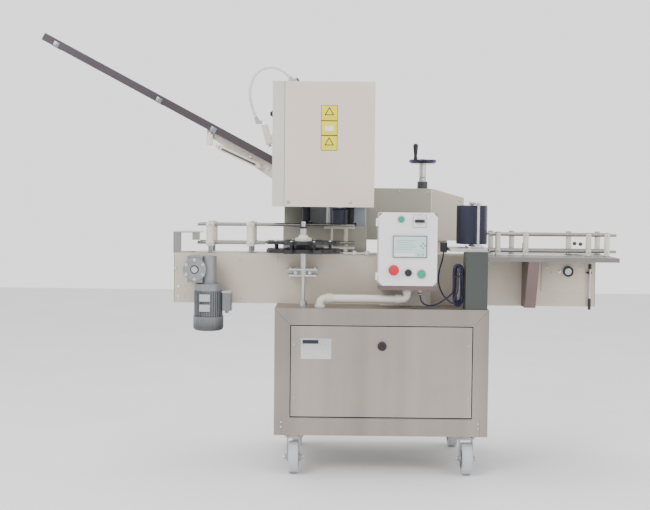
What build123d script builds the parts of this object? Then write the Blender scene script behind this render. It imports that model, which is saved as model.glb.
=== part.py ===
from build123d import *
import os
from math import atan, atan2, cos, degrees, pi, radians, sin, tan

# Single-head inline capping machine on a castered cabinet.
# Frame: origin on the floor under the middle of the cabinet, +X along the
# conveyor (bottles travel that way), +Y to the back, +Z up.  Millimetres.

# ---- driving dimensions ----
cabinet_width = 830
cabinet_depth = 650
table_z = 650                # working height of the cabinet's top
caster_height = 155
border = 61                  # width of the cabinet's posts and top rail
bottom_border = 70
cabinet_sheet = 4
top_sheet = 3
wheel_radius = 62.5
wheel_width = 40
caster_trail = 28            # the casters stand turned to the front
caster_x = 338
caster_y = 260

lane_y = -45                 # middle of the bottle lane
lane_z = 854                 # height the bottles run at
conveyor_left = -831
conveyor_right = 866
conveyor_width = 160
panel_sheet = 3
chain_width = 114
chain_thickness = 8
end_radius = 63              # chain's outer radius over the end sprockets
drive_x = -734
idler_x = 755
shaft_radius = 12.5

star_x = -309
star_y = -195
star_radius = 150
star_pockets = 8
bottle_radius = 41
star_shaft_radius = 8

rail_radius = 6
rail_low = 892
rail_high = 966
rail_offset = 52             # rail centre from the middle of the lane

outfeed_left = 412
outfeed_right = 922
outfeed_front = -290
outfeed_back = 318
outfeed_lip = 17

head_left = -436
head_right = -30
head_front = -180
head_back = 170
head_bottom = 1041
head_top = 1537
head_sheet = 3
cover_left = -388
cover_depth = 20
head_up = 100                # travel of the head above its usual height

column_radius = 17.5
column_x = (-305, -120)
column_y = 100
screw_x = -212
screw_radius = 10
tower_left = -400
tower_right = -50
tower_front = 60
tower_back = 290
tower_top = 960

spindle_x = -166
chuck_radius = 33
chuck_bottom = 970
chuck_height = 65
quill_radius = 15

chute_top = (-1370, 1718)
chute_rise = 488 / 923       # slope of the cap chute
chute_end_x = -335
chute_width = 62
chute_height = 30
chute_wall = 3

housing_right = 369
housing_front = 185
housing_back = 320
housing_bottom = 899
housing_top = 1121
housing_eave = 1083          # where the sloping right end of its top finishes
housing_slope_x = 229
wheel_x = 195
wheel_y = 250
handwheel_z = 1238
handwheel_radius = 60
grip_offset = 48

box_left = -15
box_right = 213
box_front = -300
box_back = -170
box_bottom = 739
box_top = 1022
lid_depth = 14
bracket_skirt = 17            # height of the folded edge under the box

roller_x = 363
roller_y = -150
roller_radius = 61.5
roller_height = 154
post_x = 376
post_y = -250
column_top = 874
roller_plate_sheet = 13
swing_post_radius = 5

hose_diameter = 12
cable_diameter = 6

fit = 0.05                   # radial clearance of shafts that turn or slide
gap = 0.3                    # clearance between faces that pass each other

# ---- worked-out places ----
half_width = cabinet_width / 2
half_depth = cabinet_depth / 2
cabinet_front = -half_depth
frame_top = table_z - top_sheet
conveyor_front = lane_y - conveyor_width / 2
conveyor_back = lane_y + conveyor_width / 2
panel_top = lane_z - 3
axle_z = lane_z - end_radius
rail_y = (lane_y - rail_offset, lane_y + rail_offset)
chute_angle = degrees(atan(chute_rise))

os.makedirs("parts", exist_ok=True)


def save(piece, label):
    piece.part.label = label
    export_step(piece.part, f"parts/{label}.step")


def block(x, y, z, mode=Mode.ADD):
    """A box from its two limits along each axis."""
    with Locations(((x[0] + x[1]) / 2, (y[0] + y[1]) / 2, (z[0] + z[1]) / 2)):
        Box(x[1] - x[0], y[1] - y[0], z[1] - z[0], mode=mode)


def rod_x(x, y, z, radius, mode=Mode.ADD):
    with Locations(((x[0] + x[1]) / 2, y, z)):
        Cylinder(radius, x[1] - x[0], rotation=(0, 90, 0), mode=mode)


def rod_y(x, y, z, radius, mode=Mode.ADD):
    with Locations((x, (y[0] + y[1]) / 2, z)):
        Cylinder(radius, y[1] - y[0], rotation=(90, 0, 0), mode=mode)


def rod_z(x, y, z, radius, mode=Mode.ADD):
    with Locations((x, y, (z[0] + z[1]) / 2)):
        Cylinder(radius, z[1] - z[0], mode=mode)


def corner_radii(points, share=0.45):
    """Arc radii of a cord's route: each as large as its two runs allow."""
    radii = []
    for before, here, after in zip(points, points[1:], points[2:]):
        run_in = Vector(*here) - Vector(*before)
        run_out = Vector(*after) - Vector(*here)
        half_turn = radians(run_in.get_angle(run_out)) / 2
        radii.append(share * min(run_in.length, run_out.length) / tan(half_turn))
    return radii


# ---- cabinet ----
def cabinet():
    opening_x = half_width - border
    door_opening = (caster_height + bottom_border, table_z - border - 4)
    inner_x = half_width - cabinet_sheet
    inner_y = half_depth - cabinet_sheet

    with BuildPart() as cabinet_frame:
        block((-half_width, half_width), (-half_depth, half_depth), (caster_height, frame_top))
        block((-inner_x, inner_x), (-inner_y, inner_y), (caster_height + 3, frame_top - 3), Mode.SUBTRACT)
        block((-inner_x + 30, inner_x - 30), (-inner_y + 30, inner_y - 30),
              (frame_top - 4, frame_top + 1), Mode.SUBTRACT)
        block((-opening_x, opening_x), (cabinet_front - 1, cabinet_front + 5), door_opening, Mode.SUBTRACT)
        block((-opening_x, opening_x), (half_depth - 5, half_depth + 1), door_opening, Mode.SUBTRACT)
        for side in (-1, 1):
            block(sorted((side * (half_width - 5), side * (half_width + 1))),
                  (-half_depth + border, half_depth - border), door_opening, Mode.SUBTRACT)
    with BuildPart() as hinge_pins:
        for side in (-1, 1):
            pin_x = sorted((side * (opening_x - 10), side * (opening_x + 12)))
            lug_x = sorted((side * (opening_x + 0.5), side * (opening_x + 12)))
            block(lug_x, (cabinet_front + cabinet_sheet, cabinet_front + 15), hinge_lug_z)
            rod_x(pin_x, hinge_y, hinge_z, hinge_pin_radius)
    export_step(Compound([cabinet_frame.part, hinge_pins.part], label="cabinet_frame"),
                "parts/cabinet_frame.step")

    with BuildPart() as table_top:
        block((-half_width, half_width), (-half_depth, half_depth), (frame_top, table_z))
        rod_z(star_x, star_y, (frame_top - 1, table_z + 1), star_shaft_radius + 2, Mode.SUBTRACT)
        rod_z(conduit_x[0], conduit_y, (frame_top - 1, table_z + 1), conduit_radius, Mode.SUBTRACT)
    with BuildPart() as side_panels:
        panel_z = (door_opening[0] - 20, door_opening[1] + 20)
        for side in (-1, 1):
            block(sorted((side * inner_x, side * (inner_x - 2))),
                  (-half_depth + border - 20, half_depth - border + 20), panel_z)
        block((-opening_x - 20, opening_x + 20), (inner_y - 2, inner_y), panel_z)
    export_step(Compound([table_top.part, side_panels.part], label="cabinet_panels"),
                "parts/cabinet_panels.step")

    # The front flap hinges on two pins at its bottom corners.
    door_x = opening_x - 3.5
    with BuildPart() as flap_door:
        block((-door_x, door_x), (cabinet_front, cabinet_front + 2),
              (door_opening[0] + 4, door_opening[1] - 3.5))
        for side in (-1, 1):
            block(sorted((side * (door_x - 2), side * door_x)), (cabinet_front, cabinet_front + 14),
                  (door_opening[0] + 4, door_opening[1] - 3.5))
        rod_x((-door_x - 1, door_x + 1), hinge_y, hinge_z, hinge_pin_radius + fit, Mode.SUBTRACT)
        rod_y(lock_x, (cabinet_front - 1, cabinet_front + 3), lock_z, lock_stem_radius + fit, Mode.SUBTRACT)
    save(flap_door, "flap_door")

    # Quarter-turn lock: knob outside, stem through the flap, cam behind the rail when it is turned up.
    cam_y = (cabinet_front + cabinet_sheet + gap, cabinet_front + cabinet_sheet + gap + 3)
    with BuildPart() as door_lock:
        rod_y(lock_x, (cabinet_front - 12, cabinet_front - gap), lock_z, 17.5)
        fillet(door_lock.edges().group_by(Axis.Y)[0], 2.5)
        block((lock_x - 3.5, lock_x + 3.5), (cabinet_front - 18, cabinet_front - 10), (lock_z - 14, lock_z + 14))
        rod_y(lock_x, (cabinet_front - 1, cam_y[1]), lock_z, lock_stem_radius)
        block((lock_x - lock_cam, lock_x + 9), cam_y, (lock_z - 9, lock_z + 9))
    save(door_lock, "door_lock")


hinge_y = cabinet_front + 6
hinge_z = caster_height + bottom_border + 7.5
hinge_lug_z = (hinge_z - 6, hinge_z + 7)
hinge_pin_radius = 2
lock_x = 2
lock_z = 506
lock_stem_radius = 6
lock_cam = 92
conduit_x = (-241, 101)
conduit_y = -250
conduit_z = 683
conduit_radius = 16


# ---- casters ----
caster_places = {
    "front_left": (-caster_x, -caster_y),
    "front_right": (caster_x, -caster_y),
    "rear_left": (-caster_x, caster_y),
    "rear_right": (caster_x, caster_y),
}
axle_radius = 6
king_radius = 6
crown_z = (139, 144.7)


def casters():
    with BuildPart() as caster_plates:
        for x, y in caster_places.values():
            block((x - 37, x + 37), (y - 37, y + 37), (caster_height - 4, caster_height))
            rod_z(x, y, (145, caster_height - 4), 34)
            rod_z(x, y, (crown_z[0] - 1, 145), king_radius)
            rod_z(x, y, (135, crown_z[0] - gap), 10)
    save(caster_plates, "caster_plates")

    for name, (x, y) in caster_places.items():
        axle_y = y - caster_trail
        leg_in = wheel_width / 2 + 2.5
        leg_out = leg_in + 3.5
        with BuildPart() as caster_fork:
            rod_z(x, y, crown_z, 37)
            for side in (-1, 1):
                with BuildSketch(Plane.YZ.offset(x + side * leg_in)):
                    with BuildLine():
                        Polyline((y + 26, crown_z[1]), (y - 30, crown_z[1]), (axle_y - 17, wheel_radius),
                                 (axle_y + 17, wheel_radius), (y + 26, crown_z[0] - 6), (y + 26, crown_z[1]))
                    make_face()
                    with Locations((axle_y, wheel_radius)):
                        Circle(17)
                extrude(amount=side * (leg_out - leg_in))
            rod_z(x, y, (crown_z[0] - 10, crown_z[1] + 1), king_radius + fit, Mode.SUBTRACT)
            rod_z(x, y, (crown_z[0] - 20, crown_z[0]), 11, Mode.SUBTRACT)
            rod_x((x - leg_out - 1, x + leg_out + 1), axle_y, wheel_radius, axle_radius, Mode.SUBTRACT)
        with BuildPart() as caster_axle:
            rod_x((x - leg_out, x + leg_out), axle_y, wheel_radius, axle_radius)
            for side in (-1, 1):
                ends = sorted((x + side * leg_out, x + side * (leg_out + 5)))
                rod_x(ends, axle_y, wheel_radius, 10)
        caster_fork.part.label = f"caster_fork_{name}"
        fork_and_axle = Compound([caster_fork.part, caster_axle.part])
        export_step(fork_and_axle, f"parts/caster_fork_{name}.step")

        with BuildPart() as wheel_core:
            rod_x((x - wheel_width / 2, x + wheel_width / 2), axle_y, wheel_radius, 44)
            fillet(wheel_core.edges().filter_by(GeomType.CIRCLE), 3)
            for side in (-1, 1):
                face = sorted((x + side * 8, x + side * 25))
                rod_x(face, axle_y, wheel_radius, 38, Mode.SUBTRACT)
            rod_x((x - wheel_width / 2 - 2, x + wheel_width / 2 + 2), axle_y, wheel_radius, 13)
            rod_x((x - 30, x + 30), axle_y, wheel_radius, axle_radius + fit, Mode.SUBTRACT)
        with BuildPart() as wheel_tyre:
            rod_x((x - wheel_width / 2, x + wheel_width / 2), axle_y, wheel_radius, wheel_radius)
            fillet(wheel_tyre.edges().filter_by(GeomType.CIRCLE), 7)
            rod_x((x - 30, x + 30), axle_y, wheel_radius, 44, Mode.SUBTRACT)
        wheel_core.part.label = f"caster_wheel_{name}"
        core_and_tyre = Compound([wheel_core.part, wheel_tyre.part])
        export_step(core_and_tyre, f"parts/caster_wheel_{name}.step")


# ---- conveyor ----
def conveyor():
    flange = 19
    with BuildPart() as conveyor_panels:
        for side, y in ((1, conveyor_front), (-1, conveyor_back)):
            length = (conveyor_left, conveyor_right)
            block(length, sorted((y, y + side * panel_sheet)), (table_z, panel_top))
            block(length, sorted((y, y + side * flange)), (panel_top - panel_sheet, panel_top))
            block(length, sorted((y, y + side * flange)), (table_z, table_z + panel_sheet))
            for x in (drive_x, idler_x):
                rod_y(x, sorted((y - side, y + side * 5)), axle_z, shaft_radius + 4, Mode.SUBTRACT)
        for x in joint_holes_x:
            for z in joint_holes_z:
                rod_y(x, (conveyor_front - 1, conveyor_front + 5), z, joint_hole_radius, Mode.SUBTRACT)
    save(conveyor_panels, "conveyor_panels")

    inside = (conveyor_front + panel_sheet, conveyor_back - panel_sheet)
    strip_bottom = lane_z - chain_thickness - 8
    with BuildPart() as conveyor_crossbars:
        for x in (-600, -300, 0, 300, 600):
            block((x - 10, x + 10), inside, (strip_bottom - 48, strip_bottom))
        for y in (lane_y - 40, lane_y + 40):
            block((-650, 650), (y - 10, y + 10), (strip_bottom, strip_bottom + 8))
        for x in (-360, 360):
            for side, y in ((1, conveyor_front), (-1, conveyor_back)):
                wall = y + side * panel_sheet
                block((x - 20, x + 20), sorted((wall, wall + side * 4)), (table_z + panel_sheet, table_z + 45))
    save(conveyor_crossbars, "conveyor_crossbars")

    # Slat-top chain: a closed band round both sprockets, parted into slats.
    chain_y = (lane_y - chain_width / 2, lane_y + chain_width / 2)
    span = idler_x - drive_x
    middle = (drive_x + idler_x) / 2
    slat_pitch = 38.1
    slats = int(span // slat_pitch)
    with BuildPart() as slat_chain:
        with BuildSketch(Plane.XZ.offset(-chain_y[1])):
            with Locations((middle, axle_z)):
                SlotCenterToCenter(span, 2 * end_radius)
                SlotCenterToCenter(span, 2 * (end_radius - chain_thickness), mode=Mode.SUBTRACT)
        extrude(amount=chain_width)
        grooves = [(middle + (i - slats / 2) * slat_pitch, lane_y, axle_z + side * end_radius)
                   for i in range(slats + 1) for side in (-1, 1)]
        with Locations(*grooves):
            Box(1.4, chain_width + 2, 5, mode=Mode.SUBTRACT)
        for x, first in ((drive_x, 90), (idler_x, -90)):
            for k in range(1, 5):
                turn = radians(first + 36 * k)
                with Locations(Location((x + end_radius * cos(turn), lane_y, axle_z + end_radius * sin(turn)),
                                        (0, 90 - (first + 36 * k), 0))):
                    Box(1.4, chain_width + 2, 5, mode=Mode.SUBTRACT)
    save(slat_chain, "slat_chain")

    sprocket_radius = end_radius - chain_thickness - 0.6
    for label, x, front in (("drive_shaft", drive_x, gearbox_front - 4), ("idler_shaft", idler_x, conveyor_front - 14)):
        with BuildPart() as shaft:
            rod_y(x, (front, conveyor_back + 14), axle_z, shaft_radius)
            with BuildSketch(Plane.XZ.offset(-lane_y)):
                with Locations((x, axle_z)):
                    Circle(sprocket_radius)
                    with PolarLocations(sprocket_radius, 12):
                        Circle(6, mode=Mode.SUBTRACT)
                    with PolarLocations(34, 6):
                        Circle(9, mode=Mode.SUBTRACT)
            extrude(amount=12, both=True)
        save(shaft, label)


joint_holes_x = (-815, -785)
joint_holes_z = (675, 715)
joint_hole_radius = 4.25
gearbox_front = -252
motor_x = drive_x + 50
motor_y = -200
motor_z = (604, 706)
cowl_bottom = 548
motor_radius = 56
rotor_radius = 7


# ---- gear motor ----
def gear_motor():
    with BuildPart() as gearbox_housing:
        rod_y(drive_x, (gearbox_front, -148), axle_z, 46)
        fillet(gearbox_housing.edges().filter_by(GeomType.CIRCLE), 4)
        block((drive_x - 30, drive_x + 30), (gearbox_front + 8, -150), (axle_z - 52, axle_z + 52))
        rod_z(motor_x, motor_y, (733, axle_z + 52), 32)
        rod_y(drive_x, (-150, conveyor_front), axle_z, 52)
        rod_z(motor_x, motor_y, (motor_z[1], 733), 52)
        rod_y(drive_x, (gearbox_front - 10, conveyor_front + 10), axle_z, shaft_radius + fit, Mode.SUBTRACT)
        rod_z(motor_x, motor_y, (motor_z[1] - 1, 728), rotor_radius + fit, Mode.SUBTRACT)
    save(gearbox_housing, "gearbox_housing")

    with BuildPart() as motor_body:
        with BuildSketch(Plane.XY.offset(motor_z[0])):
            with Locations((motor_x, motor_y)):
                Circle(motor_radius - 5)
                with PolarLocations(motor_radius - 4, 36):
                    Rectangle(9, 2.4)
                Circle(rotor_radius + fit, mode=Mode.SUBTRACT)
        extrude(amount=motor_z[1] - motor_z[0])
    with BuildPart() as fan_cowl:
        rod_z(motor_x, motor_y, (cowl_bottom, motor_z[0]), motor_radius + 4)
        fillet(fan_cowl.edges().group_by(Axis.Z)[0], 14)
        rod_z(motor_x, motor_y, (cowl_bottom + 2, motor_z[0] + 1), motor_radius + 0.5 - 6, Mode.SUBTRACT)
        rod_z(motor_x, motor_y, (cowl_bottom + 16, motor_z[0] + 1), motor_radius + 2, Mode.SUBTRACT)
    with BuildPart() as terminal_box:
        block((motor_x + motor_radius + 1, motor_x + motor_radius + 36), (motor_y - 34, motor_y + 34), (628, 704))
        fillet(terminal_box.edges().filter_by(Axis.Z), 5)
    motor_body.part.label = "motor_housing"
    export_step(Compound([motor_body.part, fan_cowl.part, terminal_box.part]), "parts/motor_housing.step")

    with BuildPart() as motor_rotor:
        rod_z(motor_x, motor_y, (566, 726), rotor_radius)
        rod_z(motor_x, motor_y, (572, 576), 46)
        rod_z(motor_x, motor_y, (576, 592), 14)
        with Locations((motor_x, motor_y, 583)):
            with PolarLocations(28, 7):
                Box(30, 2.5, 16)
    save(motor_rotor, "motor_rotor")


# ---- rails, posts and tables along the lane ----
infeed_posts_x = (-687, -524)
rail_start = -740
rail_end = -101
front_rail_end = star_x - 15   # the star wheel guides the bottles from here on
post_radius = 16
outfeed_posts = ((471, -1), (583, -1), (835, -1), (909, -1), (466, 1), (553, 1), (790, 1), (910, 1))
outfeed_post_radius = 11
outfeed_post_offset = 86
outfeed_rails_z = (871, 937)


def lane_rails():
    with BuildPart() as rails:
        front, back = rail_y
        rod_x((rail_start, front_rail_end), front, rail_high, rail_radius)
        rod_x((rail_start, star_x - star_radius - 6), front, rail_low, rail_radius)
        rod_x((rail_start, rail_end), back, rail_high, rail_radius)
        rod_x((rail_start, rail_end), back, rail_low, rail_radius)
        rail_distance = outfeed_post_offset - outfeed_post_radius - rail_radius
        for z in outfeed_rails_z:
            for side in (-1, 1):
                rod_x((440, 950), lane_y + side * rail_distance, z, rail_radius)

    foot = rail_offset + rail_radius + post_radius
    with BuildPart() as infeed_posts:
        for x in infeed_posts_x:
            for side in (-1, 1):
                rod_z(x, lane_y + side * foot, (panel_top, rail_low - 12), 7)
                rod_z(x, lane_y + side * foot, (rail_low - 12, rail_high + 9), post_radius)
        # rear guide behind the star wheel
        back = lane_y + foot
        for x, radius in ((-196, 5), (-138, 9)):
            rod_z(x, back, (panel_top, 955), radius)
        for z, size in ((955, 6), (870, 5)):
            block((-228, -101), (back - size, back + size), (z - size, z + size))
            for x in (-222, -107):
                block((x - 5, x + 5), (rail_y[1] + rail_radius, back), (z - 5, z + 5))
    with BuildPart() as table_posts:
        for x, side in outfeed_posts:
            y = lane_y + side * outfeed_post_offset
            rod_z(x, y, (lane_z, 944), outfeed_post_radius)
            rod_z(x, y, (944, 950), 5)
    export_step(Compound([infeed_posts.part, table_posts.part], label="rail_posts"), "parts/rail_posts.step")

    # Gate over the lane at the infeed end, cut from one sheet.
    with BuildPart() as infeed_gate:
        block((-835, -728), (conveyor_front, conveyor_back), (932, 935))
        block((-835, -807), (conveyor_front, conveyor_front + 3), (panel_top, 935))
        block((-835, -823), (conveyor_back - 3, conveyor_back), (panel_top, 935))
        block((-758, -728), (conveyor_front, conveyor_front + 3), (903, 935))
    export_step(Compound([rails.part, infeed_gate.part], label="guide_rails"), "parts/guide_rails.step")


def outfeed():
    x = (outfeed_left, outfeed_right)
    y = (outfeed_front, outfeed_back)
    slot_y = (lane_y - chain_width / 2 - 1.5, lane_y + chain_width / 2 + 1.5)
    with BuildPart() as plate:
        block(x, y, (panel_top, lane_z))
        block(x, (y[0], y[0] + 3), (lane_z - outfeed_lip, lane_z))
        block(x, (y[1] - 3, y[1]), (lane_z - outfeed_lip, lane_z))
        block((x[1] - 3, x[1]), y, (lane_z - outfeed_lip, lane_z))
        block((x[0] - 1, idler_x + end_radius + 4), slot_y, (panel_top - 1, lane_z + 1), Mode.SUBTRACT)
    pieces = [plate.part]
    for side, wall, deep in ((-1, conveyor_front, outfeed_front + 4), (1, conveyor_back, outfeed_back - 4)):
        low = wall + side * 84
        with BuildPart() as brace:
            with BuildSketch(Plane.YZ.offset(brace_x[0])):
                with BuildLine():
                    Polyline((wall, table_z), (low, table_z), (deep, lane_z - outfeed_lip - 2), (deep, panel_top),
                             (wall, panel_top), (wall, table_z))
                make_face()
            extrude(amount=brace_x[1] - brace_x[0])
            with BuildSketch(Plane.YZ.offset(brace_x[0] + 3)):
                with BuildLine():
                    Polyline((wall - side, table_z - 1), (low - side * 4, table_z - 1),
                             (deep - side * 4, lane_z - outfeed_lip - 2), (deep - side * 4, panel_top - 3),
                             (wall - side, panel_top - 3), (wall - side, table_z - 1))
                make_face()
            extrude(amount=brace_x[1] - brace_x[0] - 6, mode=Mode.SUBTRACT)
        pieces.append(brace.part)
    export_step(Compound(pieces, label="outfeed_table"), "parts/outfeed_table.step")


brace_x = (570, 613)
star_bearing_z = (766, 797)
star_plates_z = ((860, 875), (894, 906))


# ---- star wheel ----
def star():
    with BuildPart() as bearing:
        block((star_x - 62, star_x + 58), (star_y - 26, conveyor_front), star_bearing_z)
        block((star_x - 40, star_x + 36), (star_y + 26, conveyor_front - 12),
              (star_bearing_z[0] - 1, star_bearing_z[1] + 1), Mode.SUBTRACT)
        rod_z(star_x, star_y, (700, 800), star_shaft_radius + fit, Mode.SUBTRACT)
        fillet(bearing.edges().filter_by(Axis.Z).group_by(Axis.Y)[0], 12)
        block((star_x - 63, star_x + 59), (star_y - 27, conveyor_front - 6),
              (star_bearing_z[0] + 7, star_bearing_z[1] - 7), Mode.SUBTRACT)
        rod_z(star_x, star_y, star_bearing_z, 15)
        rod_z(star_x, star_y, (700, 800), star_shaft_radius + fit, Mode.SUBTRACT)
    with BuildPart() as foot:
        rod_z(star_x, star_y, (table_z, table_z + 18), 17)
        rod_z(star_x, star_y, (table_z - 1, table_z + 19), star_shaft_radius + fit, Mode.SUBTRACT)
    with BuildPart() as ring_bearings:
        for x, y in ((idler_x, conveyor_front - 12), (idler_x, conveyor_back), (drive_x, conveyor_back)):
            rod_y(x, (y, y + 12), axle_z, 20)
            rod_y(x, (y - 1, y + 13), axle_z, shaft_radius + fit, Mode.SUBTRACT)
    export_step(Compound([bearing.part, foot.part, ring_bearings.part], label="shaft_bearings"),
                "parts/shaft_bearings.step")

    with BuildPart() as index_gearbox:
        block((star_x - 42, star_x + 42), (star_y - 42, star_y + 42), (500, frame_top))
        fillet(index_gearbox.edges().filter_by(Axis.Z), 8)
        rod_z(star_x, star_y, (540, frame_top + 1), star_shaft_radius + fit, Mode.SUBTRACT)
        rod_y(star_x, (star_y + 42, star_y + 150), 560, 38)
    save(index_gearbox, "index_gearbox")

    with BuildPart() as wheel:
        for bottom, top in star_plates_z:
            with BuildSketch(Plane.XY.offset(bottom)):
                with Locations((star_x, star_y)):
                    Circle(star_radius)
                    with PolarLocations(star_radius, star_pockets, start_angle=90):
                        Circle(bottle_radius, mode=Mode.SUBTRACT)
                    with PolarLocations(62, star_pockets, start_angle=90 + 180 / star_pockets):
                        Circle(11, mode=Mode.SUBTRACT)
            extrude(amount=top - bottom)
        rod_z(star_x, star_y, (star_bearing_z[1] + gap, 955), 12.5)
        rod_z(star_x, star_y, (star_plates_z[0][1], star_plates_z[1][0]), 34)
        with Locations((star_x, star_y, (star_plates_z[0][1] + star_plates_z[1][0]) / 2)):
            with PolarLocations(star_radius - 35, star_pockets, start_angle=90 + 180 / star_pockets):
                Cylinder(6, star_plates_z[1][0] - star_plates_z[0][1])
        rod_z(star_x, star_y, (700, 960), star_shaft_radius, Mode.SUBTRACT)
    with BuildPart() as shaft:
        rod_z(star_x, star_y, (545, 975), star_shaft_radius)
        rod_z(star_x, star_y, (955, 963), 15)
    export_step(Compound([wheel.part, shaft.part], label="star_wheel"), "parts/star_wheel.step")


# ---- control box ----
lid_hinge = (box_left - 6, box_front + 10)
hinge_bands = (760, 970)
button_stem = 8
buttons = {
    "stop_button": (44, 800, 20, 18, 10),
    "black_button": (101, 790, 13, 3, 5),
    "green_button": (152, 786, 15, 3, 5),
    "start_button": (71, 997, 11, 3, 5),
}
switch_place = (142, 991)
bezel = 6


def control_box():
    wall = 2.5
    body_front = box_front + lid_depth
    hinge_x, hinge_at = lid_hinge
    with BuildPart() as box_body:
        block((box_left, box_right), (body_front, box_back), (box_bottom, box_top))
        fillet(box_body.edges().filter_by(Axis.Y), 8)
        block((box_left + wall, box_right - wall), (body_front - 1, box_back - wall),
              (box_bottom + wall, box_top - wall), Mode.SUBTRACT)
        for z in hinge_bands:
            rod_z(hinge_x, hinge_at, (z, z + 15), 5)
            block((hinge_x - 3, box_left - gap), (hinge_at, body_front + 12), (z, z + 15))
            block((box_left - gap, box_left + 1), (body_front, body_front + 12), (z, z + 15))
            rod_z(hinge_x, hinge_at, (z + 15, z + 30), 2.5)
        rod_z(conduit_x[1], conduit_y, (box_bottom - 1, box_bottom + 4), conduit_radius, Mode.SUBTRACT)
        rod_z(gland_x, gland_y, (box_bottom - 1, box_bottom + 4), gland_radius, Mode.SUBTRACT)
    save(box_body, "control_box")

    notch = 16
    face = body_front - gap
    with BuildPart() as box_lid:
        with BuildSketch(Plane.XZ.offset(-face)):
            with BuildLine():
                left, right, low, high = box_left, box_right, box_bottom, box_top
                Polyline((left + notch, low), (right - notch, low), (right, low + notch), (right, high - notch),
                         (right - notch, high), (left + notch, high), (left, high - notch), (left, low + notch),
                         (left + notch, low))
            make_face()
        extrude(amount=face - box_front)
        fillet(box_lid.faces().sort_by(Axis.Y)[0].edges(), 2.5)
        block((box_left + 4, box_right - 4), (face - 6, face + 1), (box_bottom + 20, box_top - 20), Mode.SUBTRACT)
        for x, z, radius, head, travel in buttons.values():
            rod_y(x, (box_front - bezel, box_front + 4), z, radius + 2)
            rod_y(x, (box_front - bezel - 1, box_front - bezel + travel + 0.5), z, radius + 2 - 1.5, Mode.SUBTRACT)
            rod_y(x, (box_front - bezel - 1, face + 1), z, button_stem + fit, Mode.SUBTRACT)
        block((switch_place[0] - 23, switch_place[0] + 23), (box_front - 4, box_front + 1),
              (switch_place[1] - 23, switch_place[1] + 23))
        rod_y(switch_place[0], (box_front - 10, face + 1), switch_place[1], button_stem + fit, Mode.SUBTRACT)
        for z in hinge_bands:
            rod_z(hinge_x, hinge_at, (z + 15 + gap, z + 30), 5)
            block((hinge_x, box_left + 2), (hinge_at - 4, hinge_at + 3), (z + 15 + gap, z + 30))
            rod_z(hinge_x, hinge_at, (z, z + 31), 2.5 + fit, Mode.SUBTRACT)
    save(box_lid, "box_lid")

    for label, (x, z, radius, head, travel) in buttons.items():
        seat = box_front - bezel + travel + 0.5
        with BuildPart() as button:
            rod_y(x, (box_front - bezel - head, seat - travel - gap), z, radius)
            fillet(button.edges().group_by(Axis.Y)[0], min(head, 6) * 0.6)
            rod_y(x, (seat - travel - 1, face - 4), z, button_stem)
        save(button, label)

    x, z = switch_place
    with BuildPart() as main_switch:
        rod_y(x, (box_front - 10, box_front - 4 - gap), z, 18)
        block((x - 19, x + 19), (box_front - 24, box_front - 9), (z - 6, z + 6))
        fillet(main_switch.edges().group_by(Axis.Y)[0], 2)
        rod_y(x, (box_front - 6, face - 4), z, button_stem)
    save(main_switch, "main_switch")

    with BuildPart() as control_bracket:
        shelf_x = (box_left + 3, box_right - 3)
        shelf_y = (box_front + 2, box_back + 4)
        block(shelf_x, shelf_y, (box_bottom - 3, box_bottom))
        block(shelf_x, (shelf_y[0], shelf_y[0] + 3), (box_bottom - bracket_skirt, box_bottom))
        for x in shelf_x:
            block(sorted((x, x + (3 if x == shelf_x[0] else -3))), shelf_y,
                  (box_bottom - bracket_skirt, box_bottom))
        block((box_left + 12, box_right - 12), (box_back, box_back + 4), (table_z, box_top - 20))
        block((box_left + 12, box_right - 12), (box_back, conveyor_front), (table_z, table_z + 4))
        rod_z(conduit_x[1], conduit_y, (box_bottom - 5, box_bottom + 1), conduit_radius + 4, Mode.SUBTRACT)
        rod_z(gland_x, gland_y, (box_bottom - 5, box_bottom + 1), gland_radius + 3, Mode.SUBTRACT)
    save(control_bracket, "control_bracket")


gland_x = 153
gland_y = -235
gland_radius = 8
gland_end = 700


def conduit():
    left, right = conduit_x
    path_points = [(left, conduit_y, frame_top - 20), (left, conduit_y, conduit_z), (right, conduit_y, conduit_z),
                   (right, conduit_y, box_bottom + 12)]
    with BuildPart() as pipe:
        with BuildLine():
            FilletPolyline(*path_points, radius=22)
        with BuildSketch(Plane.XY.offset(frame_top - 20)):
            with Locations((left, conduit_y)):
                Circle(conduit_radius)
        sweep()
        rod_z(left, conduit_y, (table_z, table_z + 8), conduit_radius + 5)
        rod_x((left + 26, left + 48), conduit_y, conduit_z, conduit_radius + 3)
        rod_x((right - 48, right - 26), conduit_y, conduit_z, conduit_radius + 3)
        rod_z(right, conduit_y, (708, box_bottom - 5), conduit_radius + 3)
        rod_z(left, conduit_y, (frame_top - 22, frame_top), conduit_radius + 6)
        rod_z(left, conduit_y, (frame_top - 30, frame_top + 8), conduit_radius - 3, Mode.SUBTRACT)
    with BuildPart() as cable_gland:
        rod_z(gland_x, gland_y, (gland_end + 8, box_bottom + 8), gland_radius)
        rod_z(gland_x, gland_y, (gland_end, gland_end + 8), gland_radius - 2)
        with BuildSketch(Plane.XY.offset(gland_end + 10)):
            with Locations((gland_x, gland_y)):
                RegularPolygon(11, 6)
        extrude(amount=10)
    export_step(Compound([pipe.part, cable_gland.part], label="conduit"), "parts/conduit.step")


# ---- pressing roller ----
arm_low = (column_top + roller_plate_sheet + 3, column_top + roller_plate_sheet + 9)
roller_z = (arm_low[1] + 3, arm_low[1] + 3 + roller_height)
arm_high = (roller_z[1] + 3, roller_z[1] + 9)
sensor_x = (236, 262)
sensor_y = (-200, -160)
sensor_z = (868, 905)
hook_x = 297
hook_z = 792
hank_y = (-296, -258)


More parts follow.
